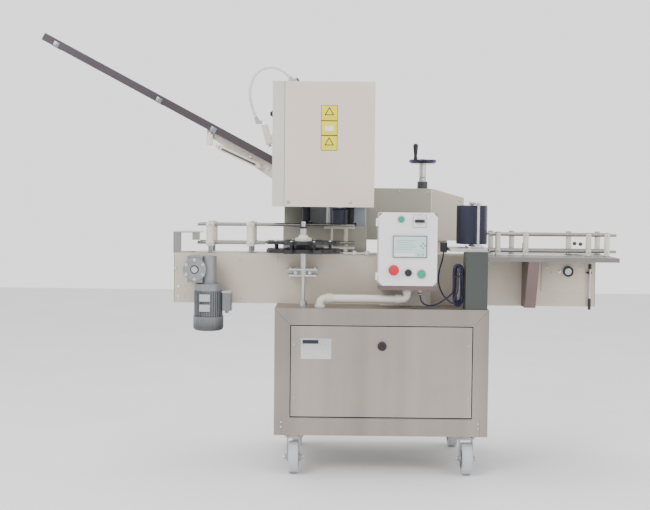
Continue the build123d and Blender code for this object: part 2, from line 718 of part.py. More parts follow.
def roller():
    column_x_range = (322, 408)
    with BuildPart() as column:
        block(column_x_range, (-320, -230), (table_z, column_top))
        fillet(column.edges().filter_by(Axis.Z), 4)
        block((column_x_range[0] + 3, column_x_range[1] - 3), (-317, -233), (table_z - 1, column_top - 3),
              Mode.SUBTRACT)
    with BuildPart() as hook:
        with BuildLine():
            FilletPolyline((column_x_range[0], hank_y[1] + 9, hook_z), (hook_x, hank_y[1] + 9, hook_z),
                           (hook_x, hank_y[0] - 10, hook_z), (hook_x, hank_y[0] - 10, hook_z + 14), radius=5)
        with BuildSketch(Plane.YZ.offset(column_x_range[0])):
            with Locations((hank_y[1] + 9, hook_z)):
                Circle(3)
        sweep()
    export_step(Compound([column.part, hook.part], label="roller_column"), "parts/roller_column.step")

    plate_z = (column_top, column_top + roller_plate_sheet)
    with BuildPart() as plate:
        block((sensor_x[1], column_x_range[1]), (-305, -130), plate_z)
        fillet(plate.edges().filter_by(Axis.Z), 5)
        rod_z(post_x, post_y, (plate_z[1], arm_low[0] - gap), 11)
        rod_z(post_x, post_y, (plate_z[1], arm_high[1] + 4), swing_post_radius)
    save(plate, "roller_plate")

    with BuildPart() as roller_arm:
        for z in (arm_low, arm_high):
            with BuildSketch(Plane.XY.offset(z[0])):
                with Locations((post_x, post_y), (roller_x, roller_y)):
                    Circle(13)
                tilt = degrees(atan2(roller_y - post_y, roller_x - post_x))
                reach = ((roller_x - post_x) ** 2 + (roller_y - post_y) ** 2) ** 0.5
                with Locations(Location(((post_x + roller_x) / 2, (post_y + roller_y) / 2, 0), tilt)):
                    Rectangle(reach, 18)
            extrude(amount=z[1] - z[0])
        rod_z(roller_x, roller_y, (arm_low[0], arm_high[1]), 7)
        rod_z(post_x, post_y, (arm_low[0] - 2, arm_high[1] + 5), swing_post_radius + fit, Mode.SUBTRACT)
    save(roller_arm, "roller_arm")

    with BuildPart() as press_roller:
        rod_z(roller_x, roller_y, roller_z, roller_radius)
        fillet(press_roller.edges().filter_by(GeomType.CIRCLE), 3)
        for z in roller_z:
            rod_z(roller_x, roller_y, sorted((z, z + (14 if z == roller_z[0] else -14))), 48, Mode.SUBTRACT)
            rod_z(roller_x, roller_y, sorted((z, z + (14 if z == roller_z[0] else -14))), 15)
        rod_z(roller_x, roller_y, (roller_z[0] - 1, roller_z[1] + 1), 7 + fit, Mode.SUBTRACT)
    save(press_roller, "press_roller")

    with BuildPart() as sensor:
        block(sensor_x, sensor_y, sensor_z)
        fillet(sensor.edges().filter_by(Axis.Z), 3)
        rod_y(sensor_middle[0], (sensor_y[1], sensor_y[1] + 10), 890, 8)
    save(sensor, "bottle_sensor")


sensor_middle = ((sensor_x[0] + sensor_x[1]) / 2, (sensor_y[0] + sensor_y[1]) / 2)


# ---- tower, lift screw and handwheel ----
def tower():
    chain_slot = ((housing_front + 11, tower_back - 14), (920, 940))
    with BuildPart() as tower_base:
        block((tower_left, tower_right), (tower_front, tower_back), (table_z, tower_top))
        fillet(tower_base.edges().filter_by(Axis.Z), 4)
        block((tower_left + 4, tower_right - 4), (tower_front + 4, tower_back - 4), (table_z - 1, tower_top - 12),
              Mode.SUBTRACT)
        block((tower_right - 6, tower_right + 1), *chain_slot, Mode.SUBTRACT)
        rod_z(screw_x, column_y, (tower_top - 13, tower_top + 1), screw_radius + fit, Mode.SUBTRACT)
    with BuildPart() as guard:
        block((tower_left, tower_right - 2), (housing_front - 8, housing_front - 4), (tower_top, head_bottom + head_up / 2))
    export_step(Compound([tower_base.part, guard.part], label="tower_base"), "parts/tower_base.step")

    with BuildPart() as guide_columns:
        for x in column_x:
            rod_z(x, column_y, (tower_top, 1480), column_radius)
            rod_z(x, column_y, (tower_top, tower_top + 14), column_radius + 10)
    save(guide_columns, "guide_columns")

    with BuildPart() as lift_screw:
        rod_z(screw_x, column_y, (922, 1400), screw_radius)
        rod_z(screw_x, column_y, (926, 932), 30)
        rod_z(screw_x, column_y, (tower_top + gap, tower_top + 8), 18)
    save(lift_screw, "lift_screw")

    with BuildPart() as rear_housing:
        with BuildSketch(Plane.XZ.offset(-housing_back)):
            with BuildLine():
                Polyline((tower_right, housing_bottom), (housing_right, housing_bottom),
                         (housing_right, housing_eave), (housing_slope_x, housing_top),
                         (tower_right, housing_top), (tower_right, housing_bottom))
            make_face()
        extrude(amount=housing_back - housing_front)
        fillet(rear_housing.edges().filter_by(Axis.Z), 4)
        with BuildSketch(Plane.XZ.offset(-(housing_back - 3))):
            with BuildLine():
                Polyline((tower_right + 3, housing_bottom + 3), (housing_right - 3, housing_bottom + 3),
                         (housing_right - 3, housing_eave - 3), (housing_slope_x, housing_top - 3),
                         (tower_right + 3, housing_top - 3), (tower_right + 3, housing_bottom + 3))
            make_face()
        extrude(amount=housing_back - housing_front - 6, mode=Mode.SUBTRACT)
        block((tower_right - 1, tower_right + 5), *chain_slot, Mode.SUBTRACT)
        rod_z(wheel_x, wheel_y, (housing_top - 5, housing_top + 30), 21.5)
        rod_z(wheel_x, wheel_y, (housing_top + 29, housing_top + 50), 14)
        rod_z(wheel_x, wheel_y, (housing_top - 6, housing_top + 51), hand_shaft + fit, Mode.SUBTRACT)
    with BuildPart() as pedestal:
        block((60, 300), (housing_front + 15, housing_back - 5), (table_z, housing_bottom))
        block((64, 296), (housing_front + 19, housing_back - 9), (table_z - 1, housing_bottom - 4), Mode.SUBTRACT)
    export_step(Compound([rear_housing.part, pedestal.part], label="rear_housing"), "parts/rear_housing.step")

    top = housing_top + 50
    with BuildPart() as handwheel:
        rod_z(wheel_x, wheel_y, (922, handwheel_z), hand_shaft)
        rod_z(wheel_x, wheel_y, (926, 932), 30)
        rod_z(wheel_x, wheel_y, (top + gap, handwheel_z + 8), 15)
        with BuildSketch(Plane.XZ.offset(-wheel_y)):
            with BuildLine():
                Polyline((wheel_x, handwheel_z - 12), (wheel_x + 30, handwheel_z - 12),
                         (wheel_x + handwheel_radius - 8, handwheel_z - 8), (wheel_x + handwheel_radius, handwheel_z),
                         (wheel_x + handwheel_radius - 2, handwheel_z + 8),
                         (wheel_x + handwheel_radius - 12, handwheel_z + 8), (wheel_x + 26, handwheel_z - 4),
                         (wheel_x, handwheel_z - 4), (wheel_x, handwheel_z - 12))
            make_face()
        revolve(axis=Axis((wheel_x, wheel_y, 0), (0, 0, 1)))
        rod_z(grip_x, grip_y, (handwheel_z, handwheel_z + 12), 8)
        rod_z(grip_x, grip_y, (handwheel_z + 12, handwheel_z + 76), 4)
    save(handwheel, "handwheel")

    low = handwheel_z + 12 + gap
    with BuildPart() as handwheel_grip:
        with BuildSketch(Plane.XZ.offset(-grip_y)):
            with BuildLine():
                Polyline((grip_x + 4 + fit, low), (grip_x + 8, low), (grip_x + 7, low + 12), (grip_x + 10, low + 42),
                         (grip_x + 11, low + 54), (grip_x + 8, low + 62), (grip_x + 4 + fit, low + 62),
                         (grip_x + 4 + fit, low))
            make_face()
        revolve(axis=Axis((grip_x, grip_y, 0), (0, 0, 1)))
    save(handwheel_grip, "handwheel_grip")


hand_shaft = 8
grip_turn = 225
grip_x = wheel_x + grip_offset * cos(radians(grip_turn))
grip_y = wheel_y + grip_offset * sin(radians(grip_turn))


# ---- capping head ----
def head():
    x = (head_left, head_right)
    wall = head_sheet
    with BuildPart() as head_box:
        block(x, (head_front, head_back), (head_bottom, head_top))
        fillet(head_box.edges().filter_by(Axis.Z).group_by(Axis.X)[0], 4)
        block((x[0] + wall, x[1] - wall), (head_front + wall, head_back - wall),
              (head_bottom + wall, head_top - wall), Mode.SUBTRACT)
        block((x[0] + 20, x[1] - 20), (-140, head_back - 20), (head_bottom - 1, head_bottom + wall + 1),
              Mode.SUBTRACT)
        block((cover_left, x[1] + 1), (head_front - 1, head_front + cover_depth), (head_bottom - 1, head_top + 1),
              Mode.SUBTRACT)
        block((x[0] - 1, x[0] + wall + 1), (lane_y - 36, lane_y + 36), (1196, 1300), Mode.SUBTRACT)
    save(head_box, "head_box")

    with BuildPart() as head_cover:
        outer_y = (head_front, head_front + cover_depth - gap)
        block((cover_left + 0.8, x[1]), outer_y, (head_bottom, head_top))
        fillet(head_cover.edges().filter_by(Axis.Z).group_by(Axis.X)[-1].sort_by(Axis.Y)[:1], 4)
        block((cover_left + 0.8 + wall, x[1] - wall), (head_front + wall, head_front + cover_depth + 1),
              (head_bottom + wall, head_top - wall), Mode.SUBTRACT)
    save(head_cover, "head_cover")

    plate_z = (head_bottom + wall, head_bottom + wall + 12)
    with BuildPart() as carriage:
        block((x[0] + wall + 0.5, x[1] - wall - 0.5), (head_front + cover_depth + 2, head_back - wall - 0.5), plate_z)
        for column in column_x:
            rod_z(column, column_y, (plate_z[1], plate_z[1] + 60), column_radius + 10)
        rod_z(screw_x, column_y, (plate_z[1], plate_z[1] + 30), 20)
        for column in column_x:
            rod_z(column, column_y, (plate_z[0] - 1, plate_z[1] + 61), column_radius + fit, Mode.SUBTRACT)
        rod_z(screw_x, column_y, (plate_z[0] - 1, plate_z[1] + 31), screw_radius + fit, Mode.SUBTRACT)
        rod_z(spindle_x, lane_y, (plate_z[0] - 1, plate_z[1] + 1), barrel_radius, Mode.SUBTRACT)
        block((star_x - 36, star_x + 39), (lane_y - 40, lane_y + 40), (plate_z[0] - 1, plate_z[1] + 1), Mode.SUBTRACT)
    with BuildPart() as barrel:
        rod_z(spindle_x, lane_y, (plate_z[0], 1240), barrel_radius)
        rod_z(spindle_x, lane_y, (plate_z[1], plate_z[1] + 8), barrel_radius + 16)
        rod_z(spindle_x, lane_y, (plate_z[0] - 1, 1241), quill_radius + fit, Mode.SUBTRACT)
    with BuildPart() as spindle_motor:
        rod_z(spindle_x, lane_y, (1240, 1420), 52)
        fillet(spindle_motor.edges().group_by(Axis.Z)[-1], 8)
    export_step(Compound([carriage.part, barrel.part, spindle_motor.part], label="head_carriage"),
                "parts/head_carriage.step")

    chuck_top = chuck_bottom + chuck_height
    nose = 8
    with BuildPart() as quill:
        rod_z(spindle_x, lane_y, (chuck_top + 3, 1190), quill_radius)
        rod_z(spindle_x, lane_y, (chuck_bottom + 25, chuck_top + 3), nose)
    save(quill, "spindle_quill")

    with BuildPart() as chuck:
        rod_z(spindle_x, lane_y, (chuck_bottom, chuck_top), chuck_radius)
        fillet(chuck.edges().group_by(Axis.Z)[-1], 6)
        chamfer(chuck.edges().group_by(Axis.Z)[0], 3)
        with Locations((spindle_x, lane_y, chuck_bottom)):
            Cone(22, 16, 36, mode=Mode.SUBTRACT)
        rod_z(spindle_x, lane_y, (chuck_bottom - 1, chuck_top + 1), nose + fit, Mode.SUBTRACT)
    save(chuck, "capping_chuck")

    # Cap chute: an open channel that slides caps into the head.
    run = chute_end_x - chute_top[0]
    slope = radians(chute_angle)
    chute_plane = Plane(origin=(chute_top[0], lane_y, chute_top[1]), x_dir=(0, 1, 0),
                        z_dir=(cos(slope), 0, -sin(slope)))
    with BuildPart() as feed_chute:
        with BuildSketch(chute_plane):
            Rectangle(chute_width, chute_height)
            Rectangle(chute_width - 2 * chute_wall, chute_height - 2 * chute_wall, mode=Mode.SUBTRACT)
            with Locations((0, chute_height / 2)):
                Rectangle(chute_width - 24, 2 * chute_wall + 1, mode=Mode.SUBTRACT)
        extrude(amount=run / cos(slope))
        for along in (25, 65):
            for across in (-15, 15):
                centre = chute_plane.from_local_coords((across, -chute_height / 2, along))
                with Locations(Plane(origin=centre, x_dir=(0, 1, 0), z_dir=chute_plane.y_dir)):
                    Cylinder(2.75, 10, mode=Mode.SUBTRACT)
    save(feed_chute, "feed_chute")

    chute_low = chute_height / 2 / cos(slope)
    left, right = -709, head_left - 0.3
    with BuildPart() as web:
        with BuildSketch(Plane.XZ.offset(-(lane_y + 2))):
            with BuildLine():
                Polyline((left, chute_z(left) - chute_low), (right, chute_z(right) - chute_low), (right, 1148),
                         (left, chute_z(left) - chute_low - 22), (left, chute_z(left) - chute_low))
            make_face()
        extrude(amount=4)
        block((head_left - 4, head_left), (lane_y - 24, lane_y + 24), (1146, 1192))
    with BuildPart() as tie_rod:
        start = Vector(-672, lane_y - 14, 1285)
        end = Vector(-482, lane_y - 14, 1198)
        along = end - start
        with Locations(Plane(origin=(start + end) * 0.5, z_dir=along)):
            Cylinder(6, along.length)
        for spot in (start + along * 0.06, start + along * 0.94):
            rod_y(spot.X, (lane_y - 22, lane_y - 2), spot.Z, 8)
    export_step(Compound([web.part, tie_rod.part], label="chute_bracket"), "parts/chute_bracket.step")


barrel_radius = 36


def chute_z(x):
    return chute_top[1] - (x - chute_top[0]) * chute_rise


# ---- cap stop and its air supply ----
stop_turn = 15                       # lean of the stop cylinder from upright
stop_end = (-454.5, 1293)
stop_length = 82
top_fitting = (-359, head_top)


def cap_stop():
    lean = radians(stop_turn)
    down = Vector(sin(lean), 0, -cos(lean))
    end = Vector(stop_end[0], lane_y, stop_end[1])
    start = end - down * stop_length
    with BuildPart() as cylinder:
        with Locations(Plane(origin=(start + end) * 0.5, x_dir=(0, 1, 0), z_dir=down)):
            Box(26, 26, stop_length)
        fillet(cylinder.edges(), 2)
        block((head_left - 24, head_left), (lane_y - 12, lane_y + 12), (end.Z + 22, end.Z + 38))
        with Locations(Plane(origin=(start + end) * 0.5, x_dir=(0, 1, 0), z_dir=down)):
            Cylinder(4 + fit, stop_length + 2, mode=Mode.SUBTRACT)
    save(cylinder, "stop_cylinder")

    with BuildPart() as stop_rod:
        with Locations(Plane(origin=end - down * (stop_length - 6) * 0.5, x_dir=(0, 1, 0), z_dir=down)):
            Cylinder(4, stop_length - 6)
        with Locations(Plane(origin=end + down * 4, x_dir=(0, 1, 0), z_dir=down)):
            Cylinder(4, 8)
        with Locations(Plane(origin=end + down * 7, x_dir=(0, 1, 0), z_dir=down)):
            Cylinder(7, 6)
    save(stop_rod, "stop_rod")

    first, second = Vector(*hose_route[0]), Vector(*hose_route[1])
    last, before = Vector(*hose_route[-1]), Vector(*hose_route[-2])
    out = (second - first).normalized()
    into = (last - before).normalized()
    with BuildPart() as top_elbow:
        rod_z(top_fitting[0], lane_y, (head_top, head_top + 6), 15)
        rod_z(top_fitting[0], lane_y, (head_top + 6, head_top + 14), 10)
        with Locations(Plane(origin=first - out * 11, z_dir=out)):
            Cylinder(8, 22)
    with BuildPart() as stop_elbow:
        with Locations(Plane(origin=last + into * 9, z_dir=into)):
            Cylinder(8, 18)
        elbow = last + into * 18
        block((elbow.X - 8, start.X - 9.5), (lane_y - 8, lane_y + 8), (elbow.Z - 10, elbow.Z + 4))
    export_step(Compound([top_elbow.part, stop_elbow.part], label="hose_fittings"),
                "parts/hose_fittings.step")


# ---- free cords ----
hose_route = [
    (-373, lane_y, 1565), (-391, lane_y, 1584), (-419, lane_y, 1601), (-453, lane_y, 1607), (-486, lane_y, 1599),
    (-513, lane_y, 1577), (-530, lane_y, 1545), (-537, lane_y, 1507), (-534, lane_y, 1468), (-524, lane_y, 1433),
    (-511, lane_y, 1402),
]
cable_start = [
    (153, -235, 700), (155, -237, 681), (165, -241, 665), (184, -248, 658), (208, -256, 661), (231, -264, 672),
    (252, -271, 690), (275, -276, 708),
]
cable_end = [
    (275, -266, 671), (252, -252, 688), (236, -239, 712), (227, -226, 740), (226, -213, 767), (231, -201, 795),
    (240, -190, 822), (247, -183, 847), (249, -180, 868),
]
hank_low = 653
hank_high = 829
hank_width = 44


def cord(route, diameter):
    """A round tube along straight runs joined by tangent arcs."""
    direction = Vector(*route[1]) - Vector(*route[0])
    with BuildPart() as tube:
        with BuildLine():
            path = FilletPolyline(*route, radius=corner_radii(route))
        with BuildSketch(Plane(origin=route[0], z_dir=direction)):
            Circle(diameter / 2)
        sweep()
    section = pi * diameter ** 2 / 4
    print("cord radii", [round(r) for r in corner_radii(route)], "length", round(path.length),
          "volume share", round(tube.part.volume / (section * path.length), 4))
    return tube


def cords():
    air_hose = cord(hose_route, hose_diameter)
    save(air_hose, "air_hose")
    lower = cord(cable_start, cable_diameter)
    upper = cord(cable_end, cable_diameter)
    export_step(Compound([lower.part, upper.part], label="sensor_cable"), "parts/sensor_cable.step")

    hank_x = 275 + hank_width / 2
    with BuildPart() as cable_hank:
        with BuildSketch(Plane.XZ.offset(-hank_y[1])):
            with Locations(Location((hank_x, (hank_low + hank_high) / 2, 0), 90)):
                SlotOverall(hank_high - hank_low, hank_width)
                SlotOverall(hank_high - hank_low - 66, 9, mode=Mode.SUBTRACT)
        extrude(amount=hank_y[1] - hank_y[0])
        fillet(cable_hank.edges().group_by(Axis.Y)[0] + cable_hank.edges().group_by(Axis.Y)[-1], 4)
    save(cable_hank, "cable_hank")


cabinet()
casters()
conveyor()
gear_motor()
lane_rails()
outfeed()
star()
control_box()
conduit()
roller()
tower()
head()
cap_stop()
cords()
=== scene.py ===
import random
from math import atan2, cos, pi, radians, sin

import bmesh
import bpy
from mathutils import Matrix, Vector


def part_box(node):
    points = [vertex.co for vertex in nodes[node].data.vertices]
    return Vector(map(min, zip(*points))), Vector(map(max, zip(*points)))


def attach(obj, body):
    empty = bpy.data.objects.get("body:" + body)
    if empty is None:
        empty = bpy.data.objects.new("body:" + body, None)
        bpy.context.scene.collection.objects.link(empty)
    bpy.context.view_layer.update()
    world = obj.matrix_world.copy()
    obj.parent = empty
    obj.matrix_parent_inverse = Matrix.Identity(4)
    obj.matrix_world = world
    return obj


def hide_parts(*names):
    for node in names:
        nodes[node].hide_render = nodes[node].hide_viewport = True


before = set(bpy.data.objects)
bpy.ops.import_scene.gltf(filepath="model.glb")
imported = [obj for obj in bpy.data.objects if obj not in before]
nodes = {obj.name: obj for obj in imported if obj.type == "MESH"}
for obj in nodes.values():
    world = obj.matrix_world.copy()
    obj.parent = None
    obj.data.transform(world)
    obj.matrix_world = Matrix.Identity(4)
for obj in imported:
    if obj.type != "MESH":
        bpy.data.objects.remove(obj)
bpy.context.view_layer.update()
print("stage: frame loaded,", len(nodes), "nodes")


# shader maths
class Val:
    # a socket that can be added and multiplied
    def __init__(self, mat, socket):
        self.mat = mat
        self.socket = socket

    def calc(self, operation, other):
        return self.mat.node("ShaderNodeMath", {0: self, 1: other}, operation=operation)

    def __add__(self, other):
        return self.calc("ADD", other)

    def __mul__(self, other):
        return self.calc("MULTIPLY", other)

    __radd__ = __add__
    __rmul__ = __mul__


class Finish:
    # one procedural material on Object coordinates, in metres
    def __init__(self, name, roughness=0.5, metallic=0.0, **fixed):
        self.material = bpy.data.materials.new(name)
        self.material.use_nodes = True
        self.tree = self.material.node_tree
        self.shader = next(n for n in self.tree.nodes if n.type == "BSDF_PRINCIPLED")
        self.shader.inputs["Roughness"].default_value = roughness
        self.shader.inputs["Metallic"].default_value = metallic
        for socket, value in fixed.items():
            self.shader.inputs[socket.replace("_", " ")].default_value = value
        self.place = self.node("ShaderNodeTexCoord", output="Object")

    def node(self, kind, values=None, output=0, **settings):
        made = self.tree.nodes.new(kind)
        stops = settings.pop("stops", None)
        for key, value in settings.items():
            setattr(made, key, value)
        if stops:
            ramp = made.color_ramp.elements
            while len(ramp) < len(stops):
                ramp.new(0.5)
            for element, (at, colour) in zip(ramp, stops):
                element.position = at
                element.color = (*colour, 1)
        for key, value in (values or {}).items():
            if isinstance(value, Val):
                self.tree.links.new(value.socket, made.inputs[key])
            else:
                made.inputs[key].default_value = value
        return Val(self, made.outputs[output])

    def noise(self, scale, detail=3.0, stretch=(1, 1, 1), rough=0.5):
        at = self.node("ShaderNodeMapping", {"Vector": self.place, "Scale": stretch})
        return self.node("ShaderNodeTexNoise",
                         {"Vector": at, "Scale": scale, "Detail": detail, "Roughness": rough})

    def ramp(self, factor, *stops):
        return self.node("ShaderNodeValToRGB", {"Fac": factor}, stops=stops)

    def blend(self, factor, first, second):
        return self.node("ShaderNodeMix", {0: factor, 6: first, 7: second}, output=2, data_type="RGBA")

    def grade(self, value, low, high, toLow, toHigh):
        return self.node("ShaderNodeMapRange", {0: value, 1: low, 2: high, 3: toLow, 4: toHigh})

    def axis(self, index):
        return self.node("ShaderNodeSeparateXYZ", {0: self.place}, output=index)

    def feed(self, **links):
        for socket, value in links.items():
            self.tree.links.new(value.socket, self.shader.inputs[socket.replace("_", " ")])

    def bump(self, height, distance, strength=0.5):
        self.feed(Normal=self.node("ShaderNodeBump",
                                   {"Height": height, "Distance": distance, "Strength": strength}))


def shade(tone, by):
    return tuple(min(1.0, c * by) for c in tone[:3])


def rgba(tone):
    return (*tone[:3], 1.0)


# along is the direction of the brush lines: fine lines across it, wide soft bands too
def brushed(name, tone, along="X", roughness=0.36, metallic=0.85, bands=0.10):
    mat = Finish(name, roughness, metallic)
    lines = {"X": (0.03, 1, 1), "Y": (1, 0.03, 1), "Z": (1, 1, 0.03)}[along]
    wide = mat.noise(9, 2, lines)
    fine = mat.noise(700, 2, lines)
    cloud = mat.noise(2.5, 3)
    smudge = mat.noise(14, 4)
    level = wide * 0.55 + cloud * 0.35 + fine * 0.1
    mat.feed(Base_Color=mat.ramp(level, (0.30, shade(tone, 1 - bands)), (0.70, shade(tone, 1 + bands))))
    mat.feed(Roughness=mat.grade(smudge + fine * 0.5, 0.4, 1.1, roughness - 0.07, roughness + 0.12))
    mat.bump(fine, 0.00012, 0.35)
    return mat.material


def painted(name, tone, roughness=0.42, peel=0.00010, dirt=0.05, metallic=0.0):
    mat = Finish(name, roughness, metallic, Coat_Roughness=0.3)
    cloud = mat.noise(3, 3)
    specks = mat.noise(60, 4, rough=0.7)
    peelNoise = mat.noise(420, 2)
    worn = mat.grade(specks, 0.62, 0.72, 0.0, dirt * 2)
    body = mat.ramp(cloud, (0.35, shade(tone, 1 - dirt)), (0.65, shade(tone, 1 + dirt * 0.6)))
    mat.feed(Base_Color=mat.blend(worn, body, rgba(shade(tone, 0.72))))
    mat.feed(Roughness=mat.grade(cloud + specks * 0.4, 0.5, 1.0, roughness - 0.05, roughness + 0.1))
    mat.bump(peelNoise, peel, 0.5)
    return mat.material


def moulded(name, tone, roughness=0.4, grain=900, depth=0.00006, vary=0.06, **fixed):
    mat = Finish(name, roughness, **fixed)
    cloud = mat.noise(12, 3)
    grainNoise = mat.noise(grain, 2)
    scuff = mat.grade(mat.noise(90, 5, (1, 1, 0.2), 0.7), 0.60, 0.72, 0.0, 0.25)
    body = mat.ramp(cloud, (0.3, shade(tone, 1 - vary)), (0.7, shade(tone, 1 + vary)))
    mat.feed(Base_Color=mat.blend(scuff, body, rgba([c * 0.8 + 0.06 for c in tone])))
    mat.feed(Roughness=mat.grade(grainNoise + scuff, 0.3, 1.1, roughness - 0.05, roughness + 0.15))
    mat.bump(grainNoise, depth, 0.5)
    return mat.material


def cast(name, tone, roughness=0.5, metallic=0.6):
    mat = Finish(name, roughness, metallic)
    grit = mat.noise(260, 4, rough=0.7)
    cloud = mat.noise(11, 3)
    stain = mat.grade(mat.noise(24, 4), 0.55, 0.75, 0.0, 0.35)
    body = mat.ramp(cloud, (0.3, shade(tone, 0.88)), (0.7, shade(tone, 1.1)))
    mat.feed(Base_Color=mat.blend(stain, body, rgba(shade(tone, 0.6))))
    mat.feed(Roughness=mat.grade(grit, 0.3, 0.7, roughness - 0.1, roughness + 0.15))
    mat.bump(grit, 0.00025, 0.6)
    return mat.material


# turned metal: a fine even noise stands for the rings
def turned(name, tone, roughness=0.28, metallic=0.9):
    mat = Finish(name, roughness, metallic)
    rings = mat.noise(1400, 1, (1, 1, 1))
    cloud = mat.noise(30, 3)
    mat.feed(Base_Color=mat.ramp(cloud, (0.3, shade(tone, 0.86)), (0.7, shade(tone, 1.1))))
    mat.feed(Roughness=mat.grade(rings, 0.3, 0.7, roughness - 0.05, roughness + 0.12))
    mat.bump(rings, 0.00005, 0.4)
    return mat.material


# slats of the chain: a fine mould grain with wear tracks where bottles run
def chainFinish():
    mat = Finish("chainSlats", 0.38)
    track = mat.noise(18, 3, (0.05, 4, 1))
    grain = mat.noise(800, 2)
    mat.feed(Base_Color=mat.ramp(track, (0.3, (0.46, 0.46, 0.45)), (0.7, (0.62, 0.62, 0.60))))
    mat.feed(Roughness=mat.grade(track, 0.3, 0.7, 0.26, 0.46))
    mat.bump(grain, 0.00006, 0.4)
    return mat.material


def clearHose():
    mat = Finish("clearHose", 0.22, Transmission_Weight=0.10, IOR=1.45)
    cloud = mat.noise(60, 3)
    ribs = mat.noise(500, 2)
    mat.feed(Base_Color=mat.ramp(cloud, (0.3, (0.72, 0.74, 0.73)), (0.7, (0.86, 0.87, 0.86))))
    mat.feed(Roughness=mat.grade(ribs, 0.3, 0.7, 0.18, 0.32))
    mat.bump(ribs, 0.00004, 0.3)
    return mat.material


# colour that changes tone along X between two places: a change of paint on the housing, painted shadow and
# reflection on the guard sheet
def toneAlongX(name, first, second, roughness=0.42):
    mat = Finish(name, roughness)
    (toneA, xA), (toneB, xB) = first, second
    share = mat.grade(mat.axis(0), xA, xB, 0.0, 1.0)
    cloud = mat.noise(3, 3)
    specks = mat.noise(60, 4, rough=0.7)
    worn = mat.grade(specks, 0.62, 0.72, 0.0, 0.14)
    body = mat.blend(share, rgba(toneA), rgba(toneB))
    soft = mat.blend(mat.grade(cloud, 0.35, 0.65, 0.0, 0.12), body, rgba(shade(toneA, 0.8)))
    mat.feed(Base_Color=mat.blend(worn, soft, rgba(shade(toneA, 0.7))))
    mat.feed(Roughness=mat.grade(cloud + specks * 0.4, 0.5, 1.0, roughness - 0.05, roughness + 0.1))
    mat.bump(mat.noise(420, 2), 0.0001, 0.5)
    return mat.material


def makeFinishes():
    tones = {
        "steel": (0.345, 0.305, 0.275), "door": (0.41, 0.36, 0.32), "beige": (0.70, 0.61, 0.52),
        "panel": (0.58, 0.52, 0.43), "housing": (0.40, 0.39, 0.33), "chute": (0.075, 0.062, 0.068),
    }
    return {
        "steelX": brushed("steelRails", tones["steel"], "X", bands=0.16),
        "steelZ": brushed("steelPosts", tones["steel"], "Z", bands=0.20),
        "door": brushed("steelDoor", tones["door"], "Z", 0.40, bands=0.22),
        "plate": brushed("outfeedSteel", (0.24, 0.235, 0.215), "Y", 0.34),
        # painted shade: the table's steel, darkened and browned where the braces and the shelf under the box
        # lie in shadow
        "shadeSteel": brushed("paintedShadeSteel", (0.165, 0.115, 0.112), "Z", 0.42, 0.4, 0.18),
        "gate": brushed("gateSteel", (0.30, 0.30, 0.29), "Z", 0.38, 0.7, 0.10),
        "panel": brushed("conveyorSheet", tones["panel"], "X", 0.46, 0.25, 0.06),
        "rod": brushed("railRod", (0.33, 0.32, 0.31), "X", 0.24, 0.95, 0.10),
        "bright": turned("brightSteel", (0.62, 0.62, 0.62)),
        "zinc": turned("zincPlate", (0.48, 0.49, 0.50), 0.38, 0.8),
        "beige": painted("beigePaint", tones["beige"]),
        "beigeSide": painted("beigePaintSide", (0.62, 0.58, 0.50)),
        "housing": toneAlongX("housingPaint", (tones["housing"], 0.2283), ((0.63, 0.57, 0.48), 0.2285)),
        # painted shadow and reflection: dark olive at the left under the head box's shadow, bright blue-grey
        # at the right
        "guardShadowSheen": toneAlongX("guardShadowReflection", ((0.27, 0.28, 0.24), -0.33), ((0.46, 0.53, 0.60), -0.16)),
        "column": painted("columnPaint", (0.055, 0.062, 0.058), 0.36),
        "chute": brushed("chuteSteel", tones["chute"], "X", 0.42, 0.6, 0.12),
        "chuteLip": brushed("chuteLip", (0.28, 0.29, 0.34), "X", 0.32, 0.8),
        "drum": painted("drumCoat", (0.022, 0.024, 0.045), 0.30, dirt=0.10, metallic=0.3),
        "blackSteel": turned("blackSteel", (0.03, 0.03, 0.04), 0.34, 0.6),
        "black": moulded("blackPlastic", (0.018, 0.018, 0.022), 0.36),
        "navy": moulded("navyPlastic", (0.014, 0.014, 0.050), 0.32),
        "frameGrey": moulded("screenFrame", (0.11, 0.11, 0.12), 0.45),
        "capGrey": moulded("cornerGrey", (0.24, 0.23, 0.23), 0.45),
        "ivory": moulded("ivoryPlastic", (0.74, 0.70, 0.60), 0.42),
        "white": painted("boxWhite", (0.86, 0.83, 0.84), 0.34, dirt=0.02),
        "grey": moulded("greyPlastic", (0.42, 0.43, 0.45), 0.40),
        "conduit": moulded("conduitCream", (0.68, 0.64, 0.58), 0.30, 500),
        "cast": cast("castAlloy", (0.29, 0.295, 0.30)),
        "motor": cast("motorPaint", (0.19, 0.20, 0.21), 0.42, 0.25),
        "cowl": cast("cowlPaint", (0.085, 0.085, 0.09), 0.45, 0.3),
        "red": moulded("redPlastic", (0.60, 0.015, 0.04), 0.25),
        "green": moulded("greenPlastic", (0.02, 0.33, 0.20), 0.25),
        "tread": moulded("wheelTread", (0.50, 0.52, 0.54), 0.35, 300),
        "core": moulded("wheelCore", (0.30, 0.31, 0.33), 0.45, 300),
        "cable": moulded("cableJacket", (0.010, 0.012, 0.045), 0.45, 300),
        "yellow": painted("labelYellow", (0.80, 0.70, 0.02), 0.38, 0.00003, 0.03),
        "ink": moulded("labelInk", (0.02, 0.02, 0.02), 0.5),
        "silver": brushed("silverPlate", (0.62, 0.62, 0.63), "X", 0.30, 0.8, 0.05),
        "screen": moulded("screenGlass", (0.56, 0.72, 0.70), 0.22, 200, 0.00001, 0.03),
        "screenInk": moulded("screenInk", (0.26, 0.38, 0.40), 0.2, 200, 0.00001),
        "chain": chainFinish(),
        "hose": clearHose(),
    }


finishes = makeFinishes()
print("stage: finishes made")


# modelling helpers
def deselectAll():
    bpy.ops.object.select_all(action="DESELECT")


